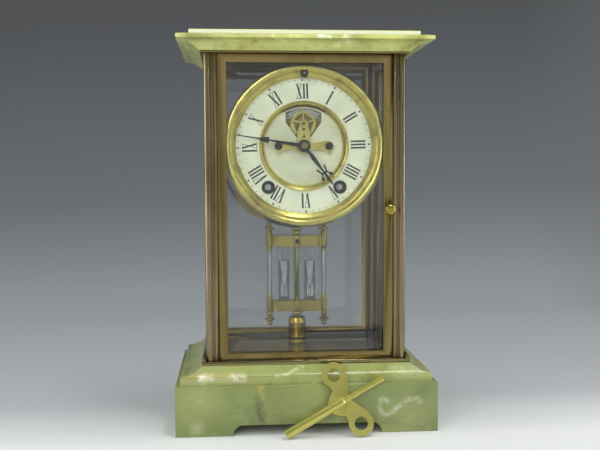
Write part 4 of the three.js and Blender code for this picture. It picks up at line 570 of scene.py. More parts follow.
def make_materials(scene):
    """Makes each finish of the clock, under the short name that the pieces ask for."""
    brass, dial = scene.clock_brass, scene.clock_dial
    make_stones(scene.clock_onyx)
    MATERIALS.update({
        "aged": aged_brass_material("Aged brass", brass, tuple(brass.aged), tuple(brass.tarnish)),
        "door": aged_brass_material("Door brass", brass, "#938152", "#786941"),
        "floor": gilt_material("Polished floor brass", brass, "#8b8258", 0.15, "#7a724f"),
        "boss": gilt_material("Boss brass", brass, "#cdb24c", 0.2, "#b0983e"),
        "gilt": gilt_material("Gilt brass", brass, tuple(brass.gilt)),
        "key": gilt_material("Cast key brass", brass, "#d3cd72", 0.34, "#bfb964"),
        "bar": gilt_material("Pendulum brass", brass, "#b8a957", 0.22, "#9b8d45"),
        "rod": gilt_material("Rod brass", brass, "#b8b07c", 0.16, "#999263"),
        "plate": gilt_material("Movement brass", brass, tuple(brass.plate), 0.4, "#b09c6b"),
        "wheel": gilt_material("Wheel brass", brass, "#8f8452", 0.35, "#6a6036"),
        "enamel": enamel_material("Dial enamel", tuple(dial.enamel), "#e3e8cb"),
        "centre": enamel_material("Centre enamel", tuple(dial.centre), "#cfd2ae"),
        "glass": glass_material("Plate glass", scene.clock_glass),
        "blued": steel_material("Blued steel", "#15171d", "#2c303b", 0.25),
        "steel": steel_material("Ground steel", "#b4b6b7", "#cfd1d1", 0.18),
        "spring": steel_material("Spring steel", "#4a4d52", "#6c6f74", 0.35),
        # Black enamel ink, fired into the white ground
        "ink": mottled_material(
            "Dial ink", 2.0, 2.0, (0.35, tuple(dial.ink)), (0.7, "#33322e"), {"Roughness": 0.3},
        ),
        # Liquid mercury: a clean mirror, dulled in places by the glass
        "mercury": mottled_material(
            "Mercury", 6.0, 2.0, (0.3, "#b9bcbf"), (0.7, "#dcdee0"), {"Metallic": 1.0, "Roughness": 0.06},
        ),
        # Polished banded agate of the pallets, dark red-brown
        "agate": mottled_material(
            "Agate", 0.8, 3.0, (0.3, "#2c130c"), (0.7, "#7a3d22"), {"Roughness": 0.12, "IOR": 1.54},
            (1.0, 4.0, 1.0),
        ),
    })


def wear(piece, finish):
    """Gives a piece its one material."""
    piece.data.materials.clear()
    piece.data.materials.append(MATERIALS[finish])


# Meshes

# A radius that counts as none, and the distance within which points are one, in millimetres
ON_AXIS = 1e-6
WELD = 0.002


def seated(name, mesh, finish, body, smooth_degrees, replaced):
    """Makes a finished mesh a piece that rides on its body."""
    piece = bpy.data.objects.new(name, mesh)
    bpy.context.scene.collection.objects.link(piece)
    mesh.set_sharp_from_angle(angle=math.radians(smooth_degrees))
    wear(piece, finish)
    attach(piece, body)
    if replaced:
        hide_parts(*replaced)
    return piece


def to_object(name, mesh_maker, finish, body, smooth_degrees, replaced=()):
    """Turns a bmesh in millimetres into a finished piece that rides on its body."""
    mesh = bpy.data.meshes.new(name)
    bmesh.ops.scale(mesh_maker, vec=(MM, MM, MM), verts=mesh_maker.verts)
    bmesh.ops.remove_doubles(mesh_maker, verts=mesh_maker.verts, dist=WELD * MM)
    bmesh.ops.recalc_face_normals(mesh_maker, faces=mesh_maker.faces)
    mesh_maker.to_mesh(mesh)
    mesh_maker.free()
    mesh.shade_smooth()
    return seated(name, mesh, finish, body, smooth_degrees, replaced)


def eased(profile, radius, closed=False, steps=3):
    """A profile with each corner rounded by a short curve."""
    points = [Vector(p) for p in profile]
    count = len(points)
    out = []
    for i, corner in enumerate(points):
        if not closed and i in (0, count - 1):
            out.append(corner)
            continue
        before, after = points[i - 1], points[(i + 1) % count]
        reach = min(radius, (corner - before).length / 3, (after - corner).length / 3)
        start = corner + (before - corner).normalized() * reach
        end = corner + (after - corner).normalized() * reach
        for s in range(steps + 1):
            t = s / steps
            out.append(start * (1 - t) ** 2 + corner * 2 * t * (1 - t) + end * t * t)
    return out


def round_place(centre, axis, radius, height, angle):
    """A point of a turned shape round the Z axis or the Y axis through centre."""
    across, up = radius * math.cos(angle), radius * math.sin(angle)
    if axis == "Z":
        return (centre.x + across, centre.y + up, centre.z + height)
    return (centre.x + across, centre.y + height, centre.z + up)


def lathe(maker, profile, centre, axis, sides, closed):
    """Sweeps a profile of (radius, height), in millimetres, round the Z or the Y axis through centre."""
    rings = []
    for radius, height in profile:
        if radius < ON_AXIS:
            ring = [maker.verts.new(round_place(centre, axis, 0.0, height, 0.0))]
        else:
            ring = [
                maker.verts.new(round_place(centre, axis, radius, height, 2 * math.pi * i / sides))
                for i in range(sides)
            ]
        rings.append(ring)
    pairs = list(zip(rings, rings[1:]))
    if closed:
        pairs.append((rings[-1], rings[0]))
    for low, high in pairs:
        for i in range(sides):
            j = (i + 1) % sides
            loop = [low[i % len(low)], low[j % len(low)], high[j % len(high)], high[i % len(high)]]
            face = list(dict.fromkeys(loop))
            if len(face) > 2:
                maker.faces.new(face)


def turned_piece(
    name, profile, centre, axis, finish, body, replaced=(), sides=96, closed=False, ease=0.2,
):
    """Turns a profile with eased corners into a piece."""
    maker = bmesh.new()
    lathe(maker, eased(profile, ease, closed), centre, axis, sides, closed)
    return to_object(name, maker, finish, body, 50.0, replaced)


def prism(maker, outline, front, back):
    """A flat plate with an (x, z) outline between two Y planes."""
    fronts = [maker.verts.new((x, front, z)) for x, z in outline]
    backs = [maker.verts.new((x, back, z)) for x, z in outline]
    maker.faces.new(fronts)
    maker.faces.new(list(reversed(backs)))
    count = len(outline)
    for i in range(count):
        j = (i + 1) % count
        maker.faces.new([fronts[j], fronts[i], backs[i], backs[j]])


def stone_rings(maker, rings):
    """A moulded stone from rectangular rings of (half width, half depth, height) about the base's middle."""
    made = []
    for wide, deep, height in rings:
        made.append([
            maker.verts.new((BASE_MIDDLE.x + sx * wide, BASE_MIDDLE.y + sy * deep, height))
            for sx, sy in ((-1, -1), (1, -1), (1, 1), (-1, 1))
        ])
    maker.faces.new(list(reversed(made[0])))
    maker.faces.new(made[-1])
    for low, high in zip(made, made[1:]):
        for i in range(4):
            j = (i + 1) % 4
            maker.faces.new([low[i], low[j], high[j], high[i]])


# Geometry Nodes

def new_tree(name, sizes):
    """A geometry tree with a geometry input and named size inputs."""
    tree = bpy.data.node_groups.new(name, "GeometryNodeTree")
    tree.interface.new_socket("Geometry", in_out="INPUT", socket_type="NodeSocketGeometry")
    for label, kind, default in sizes:
        socket = tree.interface.new_socket(label, in_out="INPUT", socket_type=kind)
        socket.default_value = default
    tree.interface.new_socket("Geometry", in_out="OUTPUT", socket_type="NodeSocketGeometry")
    return tree, tree.nodes.new("NodeGroupInput"), tree.nodes.new("NodeGroupOutput")


def soften_tree():
    """Joins a CAD node's loose triangles and shades it smooth, but for edges past an angle."""
    tree, start, end = new_tree("Soften", [("Angle", "NodeSocketFloat", math.radians(32))])
    joined = add(tree, "GeometryNodeMergeByDistance", {"Geometry": start.outputs[0], "Distance": WELD * MM})
    bent = add(tree, "GeometryNodeInputMeshEdgeAngle").outputs["Unsigned Angle"]
    soft = add(
        tree, "FunctionNodeCompare", (bent, start.outputs["Angle"]),
        data_type="FLOAT", operation="LESS_EQUAL",
    )
    faces = add(tree, "GeometryNodeSetShadeSmooth", {"Geometry": joined, "Shade Smooth": True}, domain="FACE")
    edges = add(tree, "GeometryNodeSetShadeSmooth", {"Geometry": faces, "Shade Smooth": soft}, domain="EDGE")
    tree.links.new(edges.outputs[0], end.inputs[0])
    return tree


def soften(node, finish, edge=0.0, angle=32.0):
    """Finishes a CAD node in place: joined, eased along its sharp edges and shaded smooth."""
    piece = NODES[node]
    wear(piece, finish)
    weld = piece.modifiers.new("Weld", "WELD")
    weld.merge_threshold = WELD * MM
    if edge:
        flat = piece.modifiers.new("Flatten", "DECIMATE")
        flat.decimate_type = "DISSOLVE"
        flat.angle_limit = math.radians(0.6)
        ease = piece.modifiers.new("Ease", "BEVEL")
        ease.width = edge * MM
        ease.segments = 2
        ease.limit_method = "ANGLE"
        ease.angle_limit = math.radians(40)
        ease.harden_normals = True
    shade = piece.modifiers.new("Shade", "NODES")
    shade.node_group = bpy.data.node_groups.get("Soften") or soften_tree()
    set_input(shade, "Angle", math.radians(angle))


def set_input(modifier, label, value):
    """Sets a tree's named input through its socket identifier."""
    for item in modifier.node_group.interface.items_tree:
        if item.item_type == "SOCKET" and item.in_out == "INPUT" and item.name == label:
            modifier[item.identifier] = value
            return
    raise KeyError(label)


def grown(name, points, tree, inputs, body, finish, replaced=()):
    """Runs a geometry tree on points and keeps the result as one plain mesh on its body."""
    seed_mesh = bpy.data.meshes.new(name + "_points")
    seed_mesh.from_pydata([tuple(Vector(p) * MM) for p in points], [], [])
    seed = bpy.data.objects.new(name + "_points", seed_mesh)
    bpy.context.scene.collection.objects.link(seed)
    modifier = seed.modifiers.new("Grow", "NODES")
    modifier.node_group = tree
    for label, value in inputs.items():
        set_input(modifier, label, value)
    bpy.context.view_layer.update()
    evaluated = seed.evaluated_get(bpy.context.evaluated_depsgraph_get())
    mesh = bpy.data.meshes.new_from_object(evaluated)
    bpy.data.objects.remove(seed)
    bpy.data.meshes.remove(seed_mesh)
    mesh.name = name
    return seated(name, mesh, finish, body, 40.0, replaced)


def gong_tree():
    """A wire laid in a flat spiral: each step goes out by its share of the pitch."""
    tree, start, end = new_tree("Gong spiral", [
        ("Turns", "NodeSocketInt", 4), ("Steps", "NodeSocketInt", 72),
        ("Inner Radius", "NodeSocketFloat", 0.046), ("Pitch", "NodeSocketFloat", 0.004),
        ("Wire Radius", "NodeSocketFloat", 0.0013), ("Lead", "NodeSocketFloat", 0.0026),
        ("Centre", "NodeSocketVector", (0.0, 0.0, 0.0)),
    ])
    size = start.outputs
    steps = add(tree, MATHS, (size["Turns"], size["Steps"]), operation="MULTIPLY")
    line = add(tree, "GeometryNodeMeshLine", {"Count": add(tree, MATHS, (steps, 2.0), operation="ADD")})

    # The first point is the lead's end, so the turns are counted from the second
    index = add(tree, "GeometryNodeInputIndex")
    shifted = add(tree, MATHS, (index, 1.0), operation="SUBTRACT")
    passed = add(tree, MATHS, (shifted, 0.0), operation="MAXIMUM")
    turned = add(tree, MATHS, (passed, size["Steps"]), operation="DIVIDE")
    swept = add(tree, MATHS, (turned, math.tau), operation="MULTIPLY")
    angle = add(tree, MATHS, (swept, math.pi / 2), operation="SUBTRACT")
    grown_by = add(tree, MATHS, (turned, size["Pitch"]), operation="MULTIPLY")
    radius = add(tree, MATHS, (size["Inner Radius"], grown_by), operation="ADD")
    lead = add(tree, MATHS, (
        add(tree, MATHS, (index, 0.5), operation="LESS_THAN"), size["Lead"],
    ), operation="MULTIPLY")
    round_x = add(tree, MATHS, (radius, add(tree, MATHS, (angle,), operation="COSINE")), operation="MULTIPLY")
    across = add(tree, MATHS, (round_x, lead), operation="SUBTRACT")
    up = add(tree, MATHS, (radius, add(tree, MATHS, (angle,), operation="SINE")), operation="MULTIPLY")
    spot = add(tree, VECTORS, (add(tree, JOIN, {"X": across, "Z": up}), size["Centre"]), operation="ADD")

    laid_line = add(tree, "GeometryNodeSetPosition", {"Geometry": line, "Position": spot})
    path = add(tree, "GeometryNodeMeshToCurve", {"Mesh": laid_line})
    ring = add(tree, "GeometryNodeCurvePrimitiveCircle", {"Resolution": 14, "Radius": size["Wire Radius"]})
    wire = add(tree, "GeometryNodeCurveToMesh", {"Curve": path, "Profile Curve": ring, "Fill Caps": True})
    return finish_tree(tree, end, wire, "spring")


def finish_tree(tree, end, geometry, finish):
    """Ends a tree: real geometry, shaded smooth, with its material."""
    real = add(tree, "GeometryNodeRealizeInstances", {"Geometry": geometry})
    smooth = add(tree, "GeometryNodeSetShadeSmooth", {"Geometry": real, "Shade Smooth": True})
    coloured = add(tree, "GeometryNodeSetMaterial", {"Geometry": smooth, "Material": MATERIALS[finish]})
    tree.links.new(coloured.outputs[0], end.inputs[0])
    return tree


def minute_tree():
    """Sixty dots round the dial, every fifth one larger."""
    tree, start, end = new_tree("Minute track", [
        ("Radius", "NodeSocketFloat", 0.05), ("Dot", "NodeSocketFloat", 0.0004),
        ("Hour Dot", "NodeSocketFloat", 0.0008), ("Relief", "NodeSocketFloat", 0.00005),
        ("Centre", "NodeSocketVector", (0.0, 0.0, 0.0)), ("Turn", "NodeSocketFloat", 0.0),
    ])
    size = start.outputs
    ring = add(tree, "GeometryNodeMeshCircle", {"Vertices": 60, "Radius": size["Radius"]}, fill_type="NONE")
    back_turn = add(tree, MATHS, (size["Turn"], -1.0), operation="MULTIPLY")
    upright = add(tree, "GeometryNodeTransform", {
        "Geometry": ring, "Translation": size["Centre"],
        "Rotation": add(tree, JOIN, {"X": math.pi / 2, "Y": back_turn}),
    })
    depth = add(tree, MATHS, (size["Relief"], 2.0), operation="MULTIPLY")
    index = add(tree, "GeometryNodeInputIndex")
    turn = add(tree, MATHS, (index, -math.tau / 60), operation="MULTIPLY")
    spin = add(tree, JOIN, {"X": math.pi / 2, "Y": turn})
    beat = add(tree, MATHS, (index, 5.0), operation="MODULO")
    both = add(tree, "GeometryNodeJoinGeometry")
    for chosen, label in (("GREATER_THAN", "Dot"), ("LESS_THAN", "Hour Dot")):
        mark = add(tree, "GeometryNodeMeshCylinder", {"Vertices": 12, "Radius": size[label], "Depth": depth})
        dots = add(tree, "GeometryNodeInstanceOnPoints", {
            "Points": upright, "Instance": mark, "Rotation": spin,
            "Selection": add(tree, MATHS, (beat, 0.5), operation=chosen),
        })
        tree.links.new(dots.outputs[0], both.inputs[0])
    return finish_tree(tree, end, both, "ink")


def screw_tree(finish):
    """A domed screw head with its slot, set on each point and facing along Y."""
    tree, start, end = new_tree("Screw heads " + finish, [
        ("Radius", "NodeSocketFloat", 0.002), ("Height", "NodeSocketFloat", 0.001),
        ("Slot", "NodeSocketFloat", 0.0005), ("Facing", "NodeSocketFloat", 1.0),
    ])
    size = start.outputs
    head = add(tree, "GeometryNodeMeshCylinder", {
        "Vertices": 32, "Radius": size["Radius"], "Depth": size["Height"],
    })
    wide = add(tree, MATHS, (size["Radius"], 3.0), operation="MULTIPLY")
    deep = add(tree, MATHS, (size["Height"], 0.8), operation="MULTIPLY")
    lift = add(tree, MATHS, (size["Height"], 0.5), operation="MULTIPLY")
    block = add(tree, JOIN, {"X": wide, "Y": size["Slot"], "Z": deep})
    slot = add(tree, "GeometryNodeMeshCube", {"Size": block})
    push = add(tree, JOIN, {"Z": lift})
    raised = add(tree, "GeometryNodeTransform", {"Geometry": slot, "Translation": push})
    cut = add(tree, "GeometryNodeMeshBoolean", {"Mesh 1": head, "Mesh 2": raised}, operation="DIFFERENCE")

    # Each slot stands at its own angle, as hand-driven screws do
    spin = add(tree, MATHS, (add(tree, "GeometryNodeInputIndex"), 1.1), operation="MULTIPLY")
    tilt = add(tree, MATHS, (size["Facing"], math.pi / 2), operation="MULTIPLY")
    placed = add(tree, "GeometryNodeInstanceOnPoints", {
        "Points": start.outputs[0], "Instance": cut, "Rotation": add(tree, JOIN, {"X": tilt, "Y": spin}),
    })
    return finish_tree(tree, end, placed, finish)


# Operators: one for each piece or group of like pieces

class ClockOperator:
    bl_options = {"REGISTER", "UNDO"}


class CLOCK_OT_finish_onyx(ClockOperator, Operator):
    """Cut and polish the onyx base, moulding and top"""

    bl_idname = "clock.finish_onyx"
    bl_label = "Onyx Base and Top"

    def execute(self, context):
        edge = context.scene.clock_onyx.edge
        soften("onyx_base", "block", edge, 30.0)
        ogee_stone("moulding_stone", "base_moulding", "moulding", edge, False)
        ogee_stone("top_stone", "onyx_top", "top", edge, True)
        return {"FINISHED"}


def ogee(outer, inner, bottom, top):
    """Rings of an ogee that runs in from the outer rectangle to the inner one."""
    rings = []
    for i in range(OGEE_STEPS + 1):
        inset, rise = ogee_shares(i / OGEE_STEPS)
        rings.append((
            outer[0] + (inner[0] - outer[0]) * inset,
            outer[1] + (inner[1] - outer[1]) * inset,
            bottom + (top - bottom) * rise,
        ))
    return rings


def ogee_stone(name, node, finish, edge, top_stone):
    """The base's moulding, which runs in upwards, or the top, which runs in under its slab and cap."""
    low, high = corners(node)
    floor_low, floor_high = corners("case_floor")
    inner = ((floor_high.x - floor_low.x) / 2, (floor_high.y - floor_low.y) / 2)
    outer = ((high.x - low.x) / 2, (high.y - low.y) / 2)
    if top_stone:
        slab_bottom = low.z + OGEE_RISE
        slab_top = slab_bottom + SLAB_EDGE
        margin = slab_top + CAP_RISE / 4
        half = CAP_INSET / 2
        rings = list(reversed(ogee(outer, inner, slab_bottom, low.z)))
        rings += [
            (outer[0], outer[1], slab_top - edge),
            (outer[0] - edge, outer[1] - edge, slab_top),
            (outer[0] - half, outer[1] - half, margin),
            (outer[0] - CAP_INSET, outer[1] - CAP_INSET, margin),
            (outer[0] - CAP_INSET, outer[1] - CAP_INSET, high.z - edge),
            (outer[0] - CAP_INSET - edge, outer[1] - CAP_INSET - edge, high.z),
        ]
    else:
        rings = [(*outer, low.z), (*outer, low.z + MOULDING_FILLET - edge)]
        rings += ogee(outer, inner, low.z + MOULDING_FILLET, high.z)
    maker = bmesh.new()
    stone_rings(maker, rings)
    return to_object(name, maker, finish, "case", 32.0, (node,))


class CLOCK_OT_finish_case(ClockOperator, Operator):
    """Finish the brass floor, posts, top frame and door frames"""

    bl_idname = "clock.finish_case"
    bl_label = "Brass Case"

    def execute(self, context):
        edge = context.scene.clock_brass.edge
        for node in ("case_top_frame", "front_door_frame", "back_door_frame"):
            soften(node, "door", edge)
        soften("case_floor", "floor", edge)
        for node in NODES:
            if node.startswith("post_"):
                soften(node, "aged", edge)
        for end in ("front", "back"):
            soften(end + "_door_knob", "bar", edge / 2, 40.0)
        return {"FINISHED"}


class CLOCK_OT_finish_glass(ClockOperator, Operator):
    """Glaze the sides and the doors with bevelled plate glass"""

    bl_idname = "clock.finish_glass"
    bl_label = "Bevelled Glass"

    def execute(self, context):
        for node in ("side_glass_left", "side_glass_right", "front_door_glass", "back_door_glass"):
            soften(node, "glass", 0.0, 1.0)
        return {"FINISHED"}


# Profiles as shares of a ring's width, from its inner edge, and of its rise towards the eye
BEZEL_SHARES = [
    (0.0, 0.0), (0.0, 0.05), (0.03, 0.1), (0.33, 0.38), (0.36, 0.38), (0.38, 0.32), (0.42, 0.32),
    (0.44, 0.52), (0.45, 0.66), (0.47, 0.8), (0.53, 0.91), (0.62, 0.98), (0.72, 1.0), (0.82, 0.98),
    (0.91, 0.91), (0.98, 0.8), (1.0, 0.66),
]
SIGHT_SHARES = [
    (1.0, 0.62), (0.99, 0.8), (0.93, 0.94), (0.84, 0.99), (0.75, 0.93), (0.7, 0.8), (0.67, 0.68), (0.6, 0.66),
    (0.5, 0.6), (0.3, 0.42), (0.12, 0.2), (0.0, 0.06), (0.0, 0.0), (0.82, 0.0), (0.82, 0.62),
]


class CLOCK_OT_build_dial_rings(ClockOperator, Operator):
    """Turn the gilt bezel, the sight ring, the enamel rings and the winding ferrules"""

    bl_idname = "clock.build_dial_rings"
    bl_label = "Dial Rings"

    # How far the bezel laps over the enamel, stands off it and reaches round it, the sight ring's opening
    # and the ferrules' bore and neck, in millimetres. The slope is a share of the bezel's rise.
    lap = 4.1
    gap = 0.3
    rim = 1.8
    sight = 30.3
    bore = 3.4
    neck = 4.5
    slope = 0.9

    def execute(self, context):
        self.turn_bezel()
        self.turn_sight_ring()
        soften("dial_chapter_ring", "enamel", 0.1, 20.0)
        soften("dial_centre", "centre", 0.1, 20.0)
        for node in ("winding_ferrule_time", "winding_ferrule_strike"):
            self.turn_ferrule(node)
        soften("dial_plate", "plate", 0.15)
        soften("escapement_bridge", "gilt", 0.0, 25.0)
        return {"FINISHED"}

    def turn_bezel(self):
        """The bezel ring, with the blued ferrule and the square of the regulator above XII."""
        low, high = corners("dial_bezel")
        outer = (high.x - low.x) / 2
        chapter_low, chapter_high = corners("dial_chapter_ring")
        width = outer - ((chapter_high.x - chapter_low.x) / 2 - self.lap)
        inner = outer - width
        seat = ENAMEL_FACE - self.gap
        rise = seat - low.y
        profile = [(inner + s * width, seat - h * rise) for s, h in BEZEL_SHARES]
        wall = (chapter_high.x - chapter_low.x) / 2 + self.rim
        profile += [(outer, high.y), (wall, high.y), (wall, seat)]
        centre = Vector((DIAL.x, 0.0, DIAL.z))
        maker = bmesh.new()
        lathe(maker, eased(profile, 0.15, True, 2), centre, "Y", 160, True)
        to_object("bezel_ring", maker, "gilt", "case", 40.0, ("dial_bezel",))
        spot = middle("regulator_arbor")
        centre = Vector((spot.x, 0.0, spot.z))
        front = seat - rise * self.slope
        collar = [(1.7, seat + 0.2), (1.7, front + 0.4), (2.1, front), (2.8, front + 0.2), (2.8, seat + 0.2)]
        turned_piece(
            "regulator_ferrule", collar, centre, "Y", "blued", "case", sides=32, closed=True,
        )
        tip = corners("regulator_arbor")[0].y
        square = [(0.0, tip), (1.15, tip), (1.15, front + 0.5), (0.9, front + 0.3), (0.0, front + 0.3)]
        turned_piece(
            "regulator_square", square, centre, "Y", "steel", "regulator_arbor", sides=4,
        )

    def turn_sight_ring(self):
        """The gilt ring between the two enamels."""
        low, high = corners("dial_sight_ring")
        outer = (high.x - low.x) / 2
        width = outer - self.sight
        depth = high.y - low.y
        profile = [(self.sight + s * width, high.y - h * depth) for s, h in SIGHT_SHARES]
        maker = bmesh.new()
        lathe(maker, eased(profile, 0.1, True, 2), Vector((DIAL.x, 0.0, DIAL.z)), "Y", 144, True)
        to_object("sight_ring", maker, "gilt", "case", 40.0, ("dial_sight_ring",))

    def turn_ferrule(self, node):
        """The blued ferrule of a winding hole."""
        low, high = corners(node)
        spot = middle(node)
        outer = (high.x - low.x) / 2
        front, back = low.y, high.y
        seat = ENAMEL_FACE - self.gap
        profile = [
            (self.bore, back), (self.bore, front + 0.7), (self.bore + 0.35, front + 0.2),
            (self.bore + 0.8, front), (outer - 0.6, front + 0.25), (outer, front + 0.9), (outer, seat),
            (self.neck, seat), (self.neck, back),
        ]
        turned_piece(
            node + "_turned", profile, Vector((spot.x, 0.0, spot.z)), "Y", "blued", "case",
            (node,), sides=64, closed=True, ease=0.12,
        )


# The numerals from twelve o'clock, and each letter's width in stroke pitches
NUMERALS = ["XII", "I", "II", "III", "IIII", "V", "VI", "VII", "VIII", "IX", "X", "XI"]
GLYPH_PITCHES = {"I": 1.0, "V": 1.9, "X": 2.0}


class CLOCK_OT_draw_numerals(ClockOperator, Operator):
    """Draw the Roman numerals, upright on their feet towards the centre"""

    bl_idname = "clock.draw_numerals"
    bl_label = "Roman Numerals"

    def execute(self, context):
        dial = context.scene.clock_dial
        maker = bmesh.new()
        for hour, letters in enumerate(NUMERALS):
            self.draw_numeral(maker, dial, letters, math.pi / 2 + dial.tilt - hour * math.tau / 12)
        to_object("roman_numerals", maker, "ink", "case", 30.0)
        return {"FINISHED"}

    def draw_numeral(self, maker, dial, letters, angle):
        """Draws one numeral's letters side by side, with a serif along their heads and feet."""
        total = sum(GLYPH_PITCHES[letter] for letter in letters) * dial.pitch
        place = -total / 2
        foot, head = dial.numeral_foot, dial.numeral_head
        serif = dial.thin * 0.8
        for letter in letters:
            width = GLYPH_PITCHES[letter] * dial.pitch
            left, right = place, place + width
            centre = (left + right) / 2
            if letter == "I":
                self.stroke(maker, dial, angle, centre, centre, dial.thick)
            elif letter == "V":
                self.stroke(maker, dial, angle, centre, left + dial.thick * 0.65, dial.thick)
                self.stroke(maker, dial, angle, centre, right - dial.thin * 1.6, dial.thin)
            else:
                inset = dial.thick * 0.75
                self.stroke(maker, dial, angle, right - inset, left + inset, dial.thick)
                self.stroke(maker, dial, angle, left + dial.thin * 1.6, right - dial.thin * 1.6, dial.thin)
            inset = dial.pitch * 0.06
            if letter != "V":
                self.bar(maker, dial, angle, left + inset, right - inset, foot, foot + serif)
            self.bar(maker, dial, angle, left + inset, right - inset, head - serif, head)
            place += width

    def stroke(self, maker, dial, angle, at_foot, at_head, width):
        """A stroke from foot to head."""
        half = width / 2
        foot, head = dial.numeral_foot, dial.numeral_head
        outline = [(at_foot - half, foot), (at_foot + half, foot)]
        outline += [(at_head + half, head), (at_head - half, head)]
        self.lay(maker, dial, angle, outline)

    def bar(self, maker, dial, angle, left, right, low, high):
        """A level serif."""
        self.lay(maker, dial, angle, [(left, low), (right, low), (right, high), (left, high)])

    def lay(self, maker, dial, angle, outline):
        """Lays a flat stroke on the enamel: across is clockwise, and up is outwards."""
        up = Vector((math.cos(angle), math.sin(angle)))
        across = Vector((up.y, -up.x))
        placed = [across * x + up * r for x, r in outline]
        front = ENAMEL_FACE - dial.relief
        prism(maker, [(DIAL.x + p.x, DIAL.z + p.y) for p in placed], front, ENAMEL_FACE + dial.relief)


class CLOCK_OT_draw_minute_track(ClockOperator, Operator):
    """Set the sixty minute dots round the dial"""

    bl_idname = "clock.draw_minute_track"
    bl_label = "Minute Track"

    def execute(self, context):
        dial = context.scene.clock_dial
        centre = Vector((DIAL.x, ENAMEL_FACE, DIAL.z)) * MM
        inputs = {
            "Radius": dial.track * MM, "Dot": dial.dot * MM, "Hour Dot": dial.star * MM,
            "Relief": dial.relief * MM, "Centre": tuple(centre), "Turn": dial.tilt,
        }
        grown("minute_dots", [(0.0, 0.0, 0.0)], minute_tree(), inputs, "case", "ink")
        return {"FINISHED"}


class CLOCK_OT_finish_movement(ClockOperator, Operator):
    """Finish the hands, the escapement, the wheels and the plates"""

    bl_idname = "clock.finish_movement"
    bl_label = "Movement and Hands"

    def execute(self, context):
        edge = context.scene.clock_brass.edge
        for node in ("movement_front_plate", "movement_back_plate", "suspension_cock"):
            soften(node, "plate", edge / 2)
        for node in NODES:
            if node.endswith("_wheel") and node != "escape_wheel":
                soften(node, "wheel")
        soften("escape_wheel", "gilt")
        for node in ("hour_hand", "minute_hand"):
            soften(node, "blued", edge / 3)
        for node in ("anchor", "hammer", "regulator_arbor", "time_winding_arbor", "strike_winding_arbor"):
            soften(node, "steel", 0.0, 40.0)
        for node in ("pallet_left", "pallet_right"):
            soften(node, "agate", 0.0, 45.0)
        return {"FINISHED"}


class CLOCK_OT_set_screws(ClockOperator, Operator):
    """Set the blued screws of the bridge and the nuts of the back plate"""

    bl_idname = "clock.set_screws"
    bl_label = "Screws"

    # Radius, height and slot of the bridge's screws, of its pins and of the plate's nuts, in millimetres
    screw = (3.0, 1.1, 0.7)
    pin = (1.0, 0.5, 0.25)
    nut = (2.3, 1.6, 0.7)
    # From the bridge's ends in to its screws, its pins' heights, and the pillars' places about the dial
    boss = 4.2
    pins = (13.0, 17.5)
    pillars = [(-34.0, 30.0), (34.0, 30.0), (-40.0, -1.0), (40.0, -1.0), (0.0, -44.0)]

    def execute(self, context):
        low, high = corners("escapement_bridge")
        back = corners("movement_back_plate")[1].y
        spread = (high.x - low.x) / 2 - self.boss
        ends = [(-spread, 0.0), (spread, 0.0)]
        self.set_heads("bridge_screws", ends, low.y, self.screw, "blued")
        self.set_heads("bridge_pins", [(0.0, rise) for rise in self.pins], low.y, self.pin, "blued")
        self.set_heads("plate_screws", self.pillars, back, self.nut, "steel", -1.0)
        return {"FINISHED"}

    def set_heads(self, name, spots, face, size, finish, facing=1.0):
        """Sets heads on a face, at (x, z) about the dial's centre, to face the front (1) or the back (-1)."""
        radius, height, slot = size
        points = [(DIAL.x + x, face - facing * height / 2, DIAL.z + z) for x, z in spots]
        inputs = {"Radius": radius * MM, "Height": height * MM, "Slot": slot * MM, "Facing": facing}
        grown(name, points, screw_tree(finish), inputs, "case", finish)


class CLOCK_OT_coil_gong(ClockOperator, Operator):
    """Coil the gong from its wire and finish its block"""

    bl_idname = "clock.coil_gong"
    bl_label = "Gong"

    def execute(self, context):
        gong = context.scene.clock_gong
        low, high = corners("gong_coil")
        plane = (low.y + high.y) / 2
        centre_z = low.z + gong.wire + gong.inner + gong.turns * gong.pitch
        inputs = {
            "Turns": gong.turns, "Steps": gong.steps, "Inner Radius": gong.inner * MM,
            "Pitch": gong.pitch * MM, "Wire Radius": gong.wire * MM, "Lead": gong.lead * MM,
            "Centre": tuple(Vector((DIAL.x, plane, centre_z)) * MM),
        }
        origin = [(0.0, 0.0, 0.0)]
        grown("gong_wire", origin, gong_tree(), inputs, "case", "spring", ("gong_coil",))
        soften("gong_block", "spring", 0.3)
        for node in ("time_mainspring", "strike_mainspring"):
            soften(node, "spring", 0.0, 40.0)
        return {"FINISHED"}


